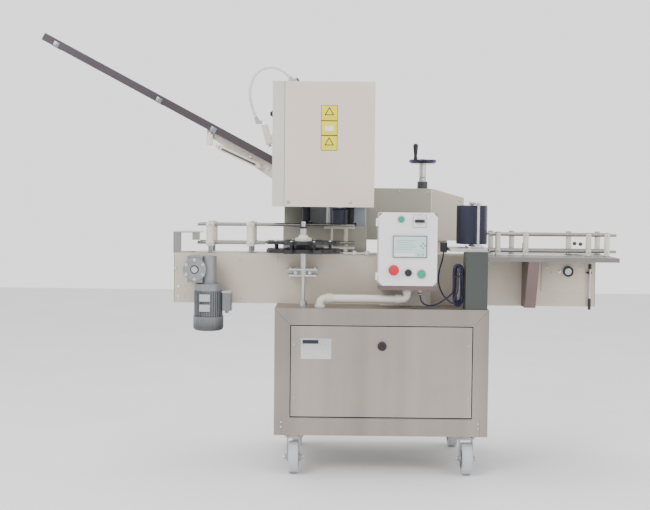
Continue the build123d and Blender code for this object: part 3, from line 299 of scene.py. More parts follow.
def active():
    return bpy.context.view_layer.objects.active


def settle(name):
    # place and size go into the mesh, so the object sits at the origin
    bpy.ops.object.transform_apply(location=True, rotation=True, scale=True)
    made = active()
    made.name = name
    return made


def soften(piece, width, segments=2, angle=40):
    if width > 0:
        bevel = piece.modifiers.new("soft", "BEVEL")
        bevel.width = width
        bevel.segments = segments
        bevel.limit_method = "ANGLE"
        bevel.angle_limit = radians(angle)
        bpy.context.view_layer.objects.active = piece
        bpy.ops.object.modifier_apply(modifier="soft")
    deselectAll()
    piece.select_set(True)
    bpy.context.view_layer.objects.active = piece
    bpy.ops.object.shade_smooth_by_angle(angle=radians(35))
    return piece


def block(name, low, high, bevel=0.0008):
    deselectAll()
    centre = [(a + b) / 2 for a, b in zip(low, high)]
    bpy.ops.mesh.primitive_cube_add(size=1, location=centre)
    active().scale = [abs(b - a) for a, b in zip(low, high)]
    return soften(settle(name), bevel)


turnTo = {"X": (0, pi / 2, 0), "Y": (pi / 2, 0, 0), "Z": (0, 0, 0)}


def roundBar(name, centre, radius, depth, along="Y", bevel=0.0006, sides=40):
    deselectAll()
    bpy.ops.mesh.primitive_cylinder_add(vertices=sides, radius=radius, depth=depth, location=centre,
                                        rotation=turnTo[along])
    return soften(settle(name), bevel)


def hollowOut(piece, picks, thickness):
    # the picked end faces are inset, and the inner faces bridged through the piece
    bpy.ops.object.mode_set(mode="EDIT")
    bpy.ops.mesh.select_mode(type="FACE")
    bpy.ops.mesh.select_all(action="DESELECT")
    mesh = bmesh.from_edit_mesh(piece.data)
    for face in mesh.faces:
        face.select = picks(face)
    bmesh.update_edit_mesh(piece.data)
    bpy.ops.mesh.inset(thickness=thickness)
    bpy.ops.mesh.bridge_edge_loops()
    bpy.ops.object.mode_set(mode="OBJECT")


def ringOf(name, centre, outer, inner, depth, along="Y", bevel=0.0004, sides=48):
    deselectAll()
    bpy.ops.mesh.primitive_cylinder_add(vertices=sides, radius=outer, depth=depth, location=centre,
                                        rotation=turnTo[along])
    piece = settle(name)
    hollowOut(piece, lambda face: len(face.verts) > 4, outer - inner)
    return soften(piece, bevel)


def turnedProfile(name, profile, centre, along="Z", steps=48):
    # profile is (radius, height) pairs, spun round the axis
    deselectAll()
    mesh = bpy.data.meshes.new(name)
    points = [(r, 0, h) for r, h in profile]
    mesh.from_pydata(points, [(i, i + 1) for i in range(len(points) - 1)], [])
    piece = bpy.data.objects.new(name, mesh)
    bpy.context.collection.objects.link(piece)
    piece.select_set(True)
    bpy.context.view_layer.objects.active = piece
    bpy.ops.object.mode_set(mode="EDIT")
    bpy.ops.mesh.select_all(action="SELECT")
    bpy.ops.mesh.spin(steps=steps, angle=2 * pi, center=(0, 0, 0), axis=(0, 0, 1))
    bpy.ops.mesh.select_all(action="SELECT")
    bpy.ops.mesh.remove_doubles(threshold=0.00001)
    bpy.ops.mesh.normals_make_consistent(inside=False)
    bpy.ops.object.mode_set(mode="OBJECT")
    piece.rotation_euler = turnTo[along]
    piece.location = centre
    settle(name)
    return soften(piece, 0)


def joined(name, pieces):
    deselectAll()
    for piece in pieces:
        piece.select_set(True)
    bpy.context.view_layer.objects.active = pieces[0]
    if len(pieces) > 1:
        bpy.ops.object.join()
    pieces[0].name = name
    pieces[0].data.name = name
    return pieces[0]


def dress(piece, body, finish):
    piece.data.materials.clear()
    piece.data.materials.append(finishes[finish])
    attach(piece, body)
    return piece


def hexBolt(name, centre, size, along="Y", out=-1):
    # hex head with a chamfered crown on a washer; out is the side that the head faces
    axis = "XYZ".index(along)
    head = list(centre)
    head[axis] += out * size * 0.45
    washer = list(centre)
    washer[axis] += out * size * 0.06
    return joined(name, [
        roundBar(name, head, size * 0.58, size * 0.62, along, size * 0.06, 6),
        roundBar(name, washer, size * 0.85, size * 0.12, along, size * 0.02, 24),
    ])


def domeScrew(name, centre, radius, along="Y", out=-1):
    # a button head with a hex socket
    deselectAll()
    bpy.ops.mesh.primitive_uv_sphere_add(segments=28, ring_count=14, radius=radius, location=(0, 0, 0))
    piece = active()
    bpy.ops.object.mode_set(mode="EDIT")
    bpy.ops.mesh.select_all(action="SELECT")
    bpy.ops.mesh.bisect(plane_co=(0, 0, radius * 0.35), plane_no=(0, 0, 1), clear_inner=True, use_fill=True)
    bpy.ops.mesh.select_all(action="SELECT")
    bpy.ops.mesh.bisect(plane_co=(0, 0, radius * 0.85), plane_no=(0, 0, 1), clear_outer=True, use_fill=True)
    bpy.ops.mesh.select_all(action="DESELECT")
    mesh = bmesh.from_edit_mesh(piece.data)
    for face in mesh.faces:
        face.select = face.normal.z > 0.99 and len(face.verts) > 5
    bmesh.update_edit_mesh(piece.data)
    bpy.ops.mesh.inset(thickness=radius * 0.12)
    bpy.ops.mesh.extrude_region_move(TRANSFORM_OT_translate={"value": (0, 0, -radius * 0.3)})
    bpy.ops.object.mode_set(mode="OBJECT")
    turn = {("Y", -1): (pi / 2, 0, 0), ("Y", 1): (-pi / 2, 0, 0), ("X", -1): (0, -pi / 2, 0),
            ("X", 1): (0, pi / 2, 0), ("Z", 1): (0, 0, 0)}[(along, out)]
    piece.rotation_euler = turn
    axis = "XYZ".index(along)
    at = list(centre)
    at[axis] -= out * radius * 0.35
    piece.location = at
    settle(name)
    return soften(piece, 0)


# camera, light and floor
view = {"place": (-0.2045, -4.753, 1.080), "lens": 63.7, "pitch": 2.88, "yaw": 0.23, "roll": 0.58}
room = {"floorSize": 14, "floorPlace": (0, 1.5, 0), "skyStrength": 1.7}
# place, size, power and target of each lamp
lamps = {
    "key": ((-2.6, -3.4, 3.6), 2.2, 120, (0.1, 0, 0.8)),
    "fill": ((3.0, -3.0, 2.2), 2.4, 50, (0, 0, 0.8)),
    "top": ((0.2, 0.2, 4.2), 2.6, 60, (0, 0, 0.6)),
}


def studio():
    deselectAll()
    camera = bpy.data.cameras.new("camera")
    camera.lens = view["lens"]
    camera.sensor_width = 36
    holder = bpy.data.objects.new("camera", camera)
    bpy.context.collection.objects.link(holder)
    turn = Matrix.Rotation(radians(view["yaw"]), 4,
                           "Z") @ Matrix.Rotation(radians(90 - view["pitch"]), 4, "X")
    holder.matrix_world = (Matrix.Translation(view["place"]) @ turn
                           @ Matrix.Rotation(radians(view["roll"]), 4, "Z"))
    bpy.context.scene.camera = holder

    bpy.ops.mesh.primitive_plane_add(size=room["floorSize"], location=room["floorPlace"])
    floor = active()
    floor.name = "floor"
    floorFinish = Finish("paleFloor", 0.7)
    grain = floorFinish.noise(2, 3)
    floorFinish.feed(Base_Color=floorFinish.ramp(grain, (0.3, (0.86, 0.86, 0.86)), (0.7, (0.90, 0.90, 0.90))))
    floor.data.materials.append(floorFinish.material)

    world = bpy.data.worlds.new("studio")
    bpy.context.scene.world = world
    world.use_nodes = True
    tree = world.node_tree
    sky = tree.nodes["Background"]
    sky.inputs["Strength"].default_value = room["skyStrength"]
    # a soft dome: bright all round, a little darker towards the front
    place = tree.nodes.new("ShaderNodeTexCoord")
    split = tree.nodes.new("ShaderNodeSeparateXYZ")
    dome = tree.nodes.new("ShaderNodeValToRGB")
    tree.links.new(place.outputs["Generated"], split.inputs[0])
    tree.links.new(split.outputs["Y"], dome.inputs["Fac"])
    tree.links.new(dome.outputs["Color"], sky.inputs["Color"])
    dome.color_ramp.elements[0].position = 0.0
    dome.color_ramp.elements[0].color = (0.62, 0.62, 0.63, 1)
    dome.color_ramp.elements[1].position = 0.35
    dome.color_ramp.elements[1].color = (1, 1, 1, 1)
    for name, (place, size, power, target) in lamps.items():
        lamp = bpy.data.lights.new(name, "AREA")
        lamp.size = size
        lamp.energy = power
        spot = bpy.data.objects.new(name, lamp)
        bpy.context.collection.objects.link(spot)
        spot.location = place
        aim = Vector(target) - Vector(place)
        spot.rotation_euler = aim.to_track_quat("-Z", "Y").to_euler()


studio()
print("stage: camera, light and floor")


# cords: lengths are those of the drawn curves
cordSizes = {"hose": (0.344, 0.012), "lead": (2.763, 0.006)}
hoseRoute = [
    (-0.373, -0.045, 1.565), (-0.391, -0.045, 1.584), (-0.419, -0.045, 1.601), (-0.453, -0.045, 1.607),
    (-0.486, -0.045, 1.599), (-0.513, -0.045, 1.577), (-0.530, -0.045, 1.545), (-0.537, -0.045, 1.507),
    (-0.534, -0.045, 1.468), (-0.524, -0.045, 1.433), (-0.511, -0.045, 1.402),
]
cableStart = [
    (0.153, -0.235, 0.700), (0.155, -0.237, 0.681), (0.165, -0.241, 0.665), (0.184, -0.248, 0.658),
    (0.208, -0.256, 0.661), (0.231, -0.264, 0.672), (0.252, -0.271, 0.690), (0.270, -0.2745, 0.703),
]
cableEnd = [
    (0.279, -0.268, 0.668), (0.252, -0.252, 0.688), (0.236, -0.239, 0.712), (0.227, -0.226, 0.740),
    (0.226, -0.213, 0.767), (0.231, -0.201, 0.795), (0.240, -0.190, 0.822), (0.247, -0.183, 0.847),
    (0.249, -0.180, 0.868),
]
hank = {"radius": 0.0182, "halfWidth": 0.0188, "halfDepth": 0.0155, "tieHeight": 0.775, "tieWall": 0.0014,
        "swings": (8, -52, 30, 56, -25, -58, 12)}


def hankTurns():
    # long loops gathered in a bundle: each turn is swung about the vertical by its own angle
    low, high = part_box("cable_hank")
    middleX = (low[0] + high[0]) / 2
    middleY = (low[1] + high[1]) / 2
    loose = random.Random(4)
    points = []
    for swing in hank["swings"]:
        side, depth = cos(radians(swing)), sin(radians(swing))
        radius = hank["radius"]
        reach = min(1.0, hank["halfDepth"] / max(0.001, radius * abs(depth)))
        shiftX = loose.uniform(-1, 1) * (hank["halfWidth"] - radius * side)
        shiftY = loose.uniform(-1, 1) * max(0.0, hank["halfDepth"] - radius * abs(depth))
        top = high[2] - radius - 0.004 - loose.uniform(0, 0.012)
        bottom = low[2] + radius + 0.004 + loose.uniform(0, 0.022)
        for step in range(14):
            if step < 2:
                across, z = -1, bottom + (top - bottom) * (step + 0.8) / 2.6
            elif step < 7:
                angle = pi - pi * (step - 2) / 4
                across, z = cos(angle), top + radius * sin(angle)
            elif step < 9:
                across, z = 1, top - (top - bottom) * (step - 7 + 0.8) / 2.6
            else:
                angle = -pi * (step - 9) / 4
                across, z = cos(angle), bottom + radius * sin(angle)
            x = middleX + shiftX + across * radius * side + loose.uniform(-0.0008, 0.0008)
            y = middleY + shiftY + across * radius * depth * reach
            points.append((x, y, z))
    return points[:-2]


def splineCord(name, points, diameter):
    curve = bpy.data.curves.new(name, "CURVE")
    curve.dimensions = "3D"
    curve.bevel_depth = diameter / 2
    curve.bevel_resolution = 4
    curve.resolution_u = 8
    curve.use_fill_caps = True
    spline = curve.splines.new("NURBS")
    spline.points.add(len(points) - 1)
    for point, place in zip(spline.points, points):
        point.co = (*place, 1)
    spline.order_u = 3
    spline.use_endpoint_u = True
    piece = bpy.data.objects.new(name, curve)
    bpy.context.collection.objects.link(piece)
    return piece


def lineLength(piece):
    # the length of the smooth line itself, from a copy with no thickness
    thin = piece.copy()
    thin.data = piece.data.copy()
    thin.data.bevel_depth = 0
    mesh = bpy.data.meshes.new_from_object(thin)
    total = sum((mesh.vertices[a].co - mesh.vertices[b].co).length for a, b in
                (edge.vertices for edge in mesh.edges))
    bpy.data.objects.remove(thin)
    bpy.data.meshes.remove(mesh)
    return total


def cords():
    hoseLength, hoseWidth = cordSizes["hose"]
    hose = splineCord("airHosePipe", hoseRoute, hoseWidth)
    dress(hose, "head", "hose")
    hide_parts("air_hose")

    leadLength, leadWidth = cordSizes["lead"]
    cable = splineCord("sensorLead", cableStart + hankTurns() + cableEnd, leadWidth)
    dress(cable, "root", "cable")
    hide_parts("sensor_cable", "cable_hank")
    print("sensor lead", round(lineLength(cable), 3), "hose", round(lineLength(hose), 3))
    tie = cableTie()


def cableTie():
    low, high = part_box("cable_hank")
    height = hank["tieHeight"]
    band = block("leadTie", (low[0] + 0.0005, low[1] + 0.0005, height),
                 (high[0] - 0.0005, high[1] - 0.0005, height + 0.005), 0)
    hollowOut(band, lambda face: abs(face.normal.z) > 0.9, hank["tieWall"])
    soften(band, 0.0006)
    return dress(band, "root", "black")


cords()
print("stage: cords")


# finishes on the frame's own pieces
nodeFinish = {
    "cabinet_frame": "steelZ", "cabinet_panels": "steelX", "flap_door": "door", "door_lock": "black",
    "conveyor_panels": "panel", "conveyor_crossbars": "steelX", "slat_chain": "chain",
    "shaft_bearings": "bright", "drive_shaft": "bright", "idler_shaft": "bright",
    "gearbox_housing": "cast", "motor_housing": "motor", "motor_rotor": "bright",
    "guide_rails": "rod", "rail_posts": "ivory", "outfeed_table": "plate",
    "index_gearbox": "cast", "star_wheel": "black", "control_box": "white", "box_lid": "white",
    "control_bracket": "beigeSide", "conduit": "conduit", "bottle_sensor": "black",
    "main_switch": "black", "stop_button": "red", "black_button": "black", "green_button": "green",
    "start_button": "green", "roller_column": "column", "roller_plate": "bright", "roller_arm": "bright",
    "press_roller": "drum", "tower_base": "housing", "guide_columns": "blackSteel", "lift_screw": "bright",
    "rear_housing": "housing", "handwheel": "navy", "handwheel_grip": "black", "head_box": "beigeSide",
    "head_cover": "beige", "head_carriage": "cast", "spindle_quill": "bright", "capping_chuck": "drum",
    "feed_chute": "chute", "chute_bracket": "beigeSide", "stop_cylinder": "ivory", "stop_rod": "bright",
    "hose_fittings": "grey", "caster_plates": "zinc",
}


starAxis = (-0.309, -0.195)
casterNames = ("front_left", "front_right", "rear_left", "rear_right")


def dressNodes():
    for name, node in nodes.items():
        finish = nodeFinish.get(name)
        if name.startswith("caster_fork"):
            finish = "zinc"
        if name.startswith("caster_wheel"):
            finish = "tread"
        if finish:
            node.data.materials.clear()
            node.data.materials.append(finishes[finish])


def paintWhere(nodeName, finish, test):
    # a second finish on the faces whose middle passes the test
    data = nodes[nodeName].data
    data.materials.append(finishes[finish])
    index = len(data.materials) - 1
    for face in data.polygons:
        if test(face.center):
            face.material_index = index


def near(point, x, y, radius):
    return (point.x - x) ** 2 + (point.y - y) ** 2 < radius ** 2


def paintDetails():
    paintWhere("star_wheel", "bright", lambda c: near(c, *starAxis, 0.0135))  # the shaft
    paintWhere("main_switch", "white", lambda c: c.y > -0.3101)  # its plate
    paintWhere("handwheel", "bright", lambda c: c.z < 1.230)  # the shaft
    paintWhere("rail_posts", "gate", lambda c: c.z < 0.881 and c.x < -0.5)  # infeed feet
    paintWhere("guide_rails", "gate",  # the infeed gate, without the rails' ends
               lambda c: c.x < -0.7279 and (c.z > 0.973 or c.z < 0.88 or c.y < -0.11 or c.y > 0.02))
    paintWhere("outfeed_table", "shadeSteel", lambda c: c.z < 0.834)  # its two braces, in painted shade
    paintWhere("control_bracket", "shadeSteel", lambda c: 0.718 < c.z < 0.739)  # its shelf, in painted shade under the box
    paintWhere("tower_base", "guardShadowSheen", lambda c: c.z > 0.9605)  # the sheet on top: painted shadow at its left, painted reflection at its right
    paintWhere("motor_housing", "cowl", lambda c: c.z < 0.585)  # the fan cowl
    for place in casterNames:
        low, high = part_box(f"caster_wheel_{place}")
        hubY, hubZ = (low[1] + high[1]) / 2, (low[2] + high[2]) / 2
        paintWhere(f"caster_wheel_{place}", "core",
                   lambda c: (c.y - hubY) ** 2 + (c.z - hubZ) ** 2 < 0.045 ** 2)


dressNodes()
paintDetails()
print("stage: frame dressed")


# labels and fittings of the capping head
headLabels = {"x": (-0.242, -0.180), "panels": ((1.384, 1.442), (1.326, 1.380), (1.266, 1.322)),
              "thick": 0.0008}


def triangleOutline(name, centre, size, thick):
    # a plain triangular frame, drawn as three bars
    bars = []
    corners = [Vector((cos(radians(90 + 120 * k)) * size, 0, sin(radians(90 + 120 * k)) * size))
               for k in range(3)]
    for k in range(3):
        a, b = corners[k], corners[(k + 1) % 3]
        middle = (a + b) / 2
        deselectAll()
        bpy.ops.mesh.primitive_cube_add(size=1,
                                        location=(centre[0] + middle.x, centre[1], centre[2] + middle.z))
        bar = active()
        bar.scale = ((b - a).length + size * 0.1, thick, size * 0.17)
        bar.rotation_euler = (0, -atan2(b.z - a.z, b.x - a.x), 0)
        bars.append(settle(name))
    return joined(name, bars)


def labels():
    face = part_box("head_cover")[0][1]
    x0, x1 = headLabels["x"]
    thick = headLabels["thick"]
    sheets, ink = [], []
    bottom, top = headLabels["panels"][-1][0], headLabels["panels"][0][1]
    ink.append(block("noticeInk", (x0 - 0.0018, face - 0.0004, bottom - 0.0018),
                     (x1 + 0.0018, face - 0.0001, top + 0.0018), 0))
    for k, (z0, z1) in enumerate(headLabels["panels"]):
        sheets.append(block("noticePanels", (x0, face - thick, z0), (x1, face - 0.0001, z1), 0.0004))
        if k != 1:
            centre = ((x0 + x1) / 2, face - thick - 0.0001, (z0 + z1) / 2 + 0.002)
            ink.append(triangleOutline("noticeInk", centre, 0.019, 0.0006))
        else:
            middle = (z0 + z1) / 2
            blank = block("noticeBlank", (x0 + 0.014, face - thick - 0.0003, middle - 0.011),
                          (x1 - 0.014, face - thick + 0.0002, middle + 0.009), 0.0001)
            dress(blank, "head", "white")
    dress(joined("noticePanels", sheets), "head", "yellow")
    dress(joined("noticeInk", ink), "head", "ink")


def headFittings():
    low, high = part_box("head_cover")
    boxLow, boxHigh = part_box("head_box")
    screws = [domeScrew("coverScrews", (x, low[1], low[2] + 0.020), 0.0085)
              for x in (low[0] + 0.016, low[0] + 0.263)]
    dress(joined("coverScrews", screws), "head", "bright")
    seam = block("coverSeam", (low[0] - 0.0012, low[1] - 0.0002, low[2]),
                 (low[0] + 0.0002, low[1] + 0.002, high[2]), 0)
    dress(seam, "head", "column")
    # bulkhead for the air hose on the box's top corner, with its black quick-release lever
    exitX, exitY = hoseRoute[0][:2]
    base = block("hoseBulkhead", (exitX - 0.006, exitY - 0.019, high[2]),
                 (exitX + 0.040, exitY - 0.0085, high[2] + 0.024), 0.004)
    dress(base, "head", "grey")
    lever = block("hoseLever", (0, -0.004, 0), (0.034, 0.004, 0.006), 0.002)
    lever.data.transform(Matrix.Translation((exitX + 0.024, exitY - 0.016,
                                             high[2] + 0.022)) @ Matrix.Rotation(radians(52), 4, "Y"))
    dress(lever, "head", "black")
    # quarter-turn latch on the left side of the box
    latch = turnedProfile("sideLatch", [(0, 0), (0.013, 0), (0.013, 0.004), (0.009, 0.006), (0.009, 0.010),
                                        (0.0075, 0.0115), (0, 0.0115)], (0, 0, 0))
    latch.data.transform(Matrix.Rotation(-pi / 2, 4, "Y"))
    latch.data.transform(Matrix.Translation((boxLow[0], -0.14, 1.410)))
    dress(latch, "head", "black")
    # lifting eye bolts on the roof, each on a round base
    roof = boxHigh[2]
    eyes = []
    for x in (boxLow[0] + 0.06, boxHigh[0] - 0.06):
        deselectAll()
        bpy.ops.mesh.primitive_torus_add(major_radius=0.008, minor_radius=0.0025,
                                         location=(x, 0.12, roof + 0.011),
                                         rotation=(pi / 2, 0, 0), major_segments=32, minor_segments=12)
        eyes.append(soften(settle("liftEyes"), 0))
        eyes.append(roundBar("liftEyes", (x, 0.12, roof + 0.0015), 0.008, 0.003, "Z"))
    dress(joined("liftEyes", eyes), "head", "zinc")


labels()
headFittings()
print("stage: head fittings")


# cabinet
plateSize = {"x": (-0.312, -0.194), "z": (0.454, 0.534), "thick": 0.0012, "rows": 6, "rowStep": 0.008}
cabinetParts = {"rail": 0.061, "screwInset": (0.028, 0.037), "screwHeights": (0.187, 0.206),
                "screwRadius": 0.0045,
                "lock": (0.002, 0.506), "rivetHeights": (0.302, 0.510)}


def cabinetFittings():
    low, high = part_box("cabinet_frame")
    front = low[1]
    screws = []
    leftInset, rightInset = cabinetParts["screwInset"]
    for x in (low[0] + leftInset, high[0] - rightInset):
        for z in cabinetParts["screwHeights"]:
            screws.append(domeScrew("postScrews", (x, front, z), cabinetParts["screwRadius"]))
            screws.append(domeScrew("postScrews", (x, high[1], z), cabinetParts["screwRadius"], out=1))
    dress(joined("postScrews", screws), "root", "bright")
    # mitred corners and joints of the frame: fine dark seams
    seams = []
    rail = cabinetParts["rail"]
    for side in (-1, 1):
        edge = low[0] if side < 0 else high[0]
        for z, lean, length in ((high[2] - rail / 2, side * pi / 4, 0.080), (0.190, 0, 0.060)):
            deselectAll()
            bpy.ops.mesh.primitive_cube_add(size=1, location=(edge - side * rail / 2, front - 0.0001, z))
            seam = active()
            seam.scale = (length if lean else 0.0007, 0.0004, 0.0009 if lean else 0.070)
            seam.rotation_euler = (0, -lean, 0)
            seams.append(settle("frameSeams"))
    seams.append(block("frameSeams", (low[0] + rail, front - 0.0003, 0.2225),
                       (high[0] - rail, front + 0.0002, 0.2237), 0))
    dress(joined("frameSeams", seams), "root", "column")

    # flap: blank plate, lock ring and rivets
    x0, x1 = plateSize["x"]
    z0, z1 = plateSize["z"]
    thick = plateSize["thick"]
    flapLow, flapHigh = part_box("flap_door")
    face = flapLow[1]
    badge = block("blankPlate", (x0, face - thick, z0), (x1, face - 0.0001, z1), 0.0004)
    dress(badge, "flap", "silver")
    rows = []
    for row in range(plateSize["rows"]):
        z = z1 - 0.030 - row * plateSize["rowStep"]
        rows.append(block("plateRows", (x0 + 0.006, face - thick - 0.0002, z),
                          (x1 - 0.006, face - thick + 0.0002, z + 0.0007), 0))
    rows.append(block("plateRows", (x0 + 0.045, face - thick - 0.0002, z1 - 0.070),
                      (x0 + 0.0457, face - thick + 0.0002, z1 - 0.030), 0))
    dress(joined("plateRows", rows), "flap", "grey")
    band = block("plateBand", (x0 + 0.006, face - thick - 0.0002, z1 - 0.021),
                 (x1 - 0.050, face - thick + 0.0002, z1 - 0.006), 0.0001)
    dress(band, "flap", "drum")
    rivets = [domeScrew("plateRivets", (x, face - thick, z), 0.0022) for x in (x0 + 0.004, x1 - 0.004)
              for z in (z0 + 0.004, z1 - 0.004)]
    dress(joined("plateRivets", rivets), "flap", "bright")
    lockX, lockZ = cabinetParts["lock"]
    cap = ringOf("lockRing", (lockX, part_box("door_lock")[0][1] + 0.0095, lockZ), 0.0145, 0.0085, 0.0022)
    dress(cap, "lock", "bright")
    marks = []
    for x in (flapLow[0] + 0.012, flapHigh[0] - 0.012):
        for z in cabinetParts["rivetHeights"]:
            marks.append(roundBar("flapRivets", (x, face - 0.0004, z), 0.0035, 0.0012, "Y", 0.0003, 24))
    dress(joined("flapRivets", marks), "flap", "zinc")


# casters
casterParts = {"rimSide": 0.0195, "rimOuter": 0.70, "rimInner": 0.62, "spokes": 5, "trail": 0.028,
               "races": ((0.1368, 0.0365, 0.030, 0.0025), (0.1413, 0.0385, 0.0372, 0.0030)),
               "boltSpread": 0.029, "boltHeight": 0.1512, "boltSize": 0.0085}


def casterFittings():
    for place in casterNames:
        wheelLow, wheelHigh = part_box(f"caster_wheel_{place}")
        forkLow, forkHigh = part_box(f"caster_fork_{place}")
        middle = [(a + b) / 2 for a, b in zip(wheelLow, wheelHigh)]
        radius = (wheelHigh[2] - wheelLow[2]) / 2
        rims = []
        for side in (-1, 1):
            x = middle[0] + side * casterParts["rimSide"]
            rims.append(ringOf(f"wheelRim_{place}", (x, middle[1], middle[2]),
                               radius * casterParts["rimOuter"],
                               radius * casterParts["rimInner"], 0.002, "X"))
            for k in range(casterParts["spokes"]):
                angle = 2 * pi * k / casterParts["spokes"]
                spoke = block(f"wheelRim_{place}", (middle[0] + side * 0.009, -0.003, 0.014),
                              (middle[0] + side * 0.016, 0.003, 0.038), 0.0012)
                spoke.data.transform(Matrix.Translation((0, middle[1],
                                                         middle[2])) @ Matrix.Rotation(angle, 4, "X"))
                rims.append(spoke)
        dress(joined(f"wheelRim_{place}", rims), f"wheel_{place}", "core")
        nuts = []
        for side in (-1, 1):
            x = forkLow[0] + 0.001 if side < 0 else forkHigh[0] - 0.001
            nuts.append(roundBar(f"axleNuts_{place}", (x, middle[1], middle[2]), 0.0085, 0.007, "X", 0.001,
                                 6))
        x, y = (forkLow[0] + forkHigh[0]) / 2, middle[1] + casterParts["trail"]
        for z, outer, inner, depth in casterParts["races"]:
            nuts.append(ringOf(f"axleNuts_{place}", (x, y, z), outer, inner, depth, "Z"))
        dress(joined(f"axleNuts_{place}", nuts), f"fork_{place}", "bright")
        spread = casterParts["boltSpread"]
        bolts = [hexBolt(f"plateBolts_{place}", (x + dx * spread, y + dy * spread, casterParts["boltHeight"]),
                         casterParts["boltSize"], "Z", -1) for dx in (-1, 1) for dy in (-1, 1)]
        dress(joined(f"plateBolts_{place}", bolts), "root", "zinc")


cabinetFittings()
casterFittings()
print("stage: cabinet and casters")


# conveyor
conveyorParts = {"boltPlaces": (-0.690, -0.565, -0.415, 0.020, 0.240, 0.460, 0.530),
                 "boltHeights": (0.835, 0.820),
                 "footPlaces": (-0.560, 0.700), "boltRadius": 0.0042, "takeUpX": (0.648, 0.826),
                 "takeUpZ": (0.708, 0.838), "clampX": 0.842, "edgeZ": (0.650, 0.851)}


def conveyorFittings():
    low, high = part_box("conveyor_panels")
    front, back = low[1], high[1]
    bolts = []
    radius = conveyorParts["boltRadius"]
    spots = [(x, z) for x in conveyorParts["boltPlaces"] for z in conveyorParts["boltHeights"]]
    for x, z in spots + [(x, 0.672) for x in conveyorParts["footPlaces"]]:
        bolts.append(domeScrew("panelBolts", (x, front, z), radius))
        bolts.append(domeScrew("panelBolts", (x, back, z), radius, out=1))
    bolts.append(hexBolt("panelBolts", (low[0] + 0.006, front, 0.790), 0.008))
    dress(joined("panelBolts", bolts), "root", "bright")

    # take-up plate round the idler shaft, with its adjusting screw
    shaftLow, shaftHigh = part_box("idler_shaft")
    x = (shaftLow[0] + shaftHigh[0]) / 2
    z = (shaftLow[2] + shaftHigh[2]) / 2
    (plateX0, plateX1), (plateZ0, plateZ1) = conveyorParts["takeUpX"], conveyorParts["takeUpZ"]
    plate = block("takeUpPlate", (plateX0, front - 0.003, plateZ0), (plateX1, front - 0.0002, plateZ1),
                  0.0012)
    dress(plate, "root", "panel")
    ring = ringOf("bearingSeal", (x, front - 0.0125, z), 0.0215, 0.0135, 0.004)
    dress(ring, "root", "black")
    fixings = [domeScrew("takeUpScrews", (sx, front - 0.003, 0.806), 0.005) for sx in (0.668, 0.806)]
    fixings.append(domeScrew("takeUpScrews", (0.690, front - 0.003, 0.786), 0.004))
    fixings.append(hexBolt("takeUpScrews", (0.722, front - 0.003, z), 0.008))
    dress(joined("takeUpScrews", fixings), "root", "bright")

    # clamp rod that stands beside the outfeed end
    x = conveyorParts["clampX"]
    y = front - 0.012
    rod = [roundBar("clampRod", (x, y, 0.752), 0.0042, 0.140, "Z"),
           roundBar("clampRod", (x, y, 0.690), 0.0055, 0.010, "Z")]
    dress(joined("clampRod", rod), "root", "bright")
    sleeve = [roundBar("clampSleeve", (x, y, 0.661), 0.006, 0.046, "Z", 0.002),
              roundBar("clampSleeve", (x, y, 0.812), 0.006, 0.020, "Z", 0.002)]
    sleeve.append(block("clampSleeve", (x - 0.013, y - 0.003, 0.783), (x + 0.008, front, 0.791), 0.002))
    dress(joined("clampSleeve", sleeve), "root", "black")
    z0, z1 = conveyorParts["edgeZ"]
    ends = [block("panelEnds", (x0, front, z0), (x1, front + 0.0032, z1), 0.0003)
            for x0, x1 in ((low[0] - 0.0006, low[0] + 0.0016), (high[0] - 0.0016, high[0] + 0.0006))]
    dress(joined("panelEnds", ends), "root", "column")


motorParts = {"body": 0.120, "padHeights": (0.640, 0.680), "flange": (0.043, 0.706), "capCircle": 0.038,
              "faceCircle": 0.045, "slots": 12}


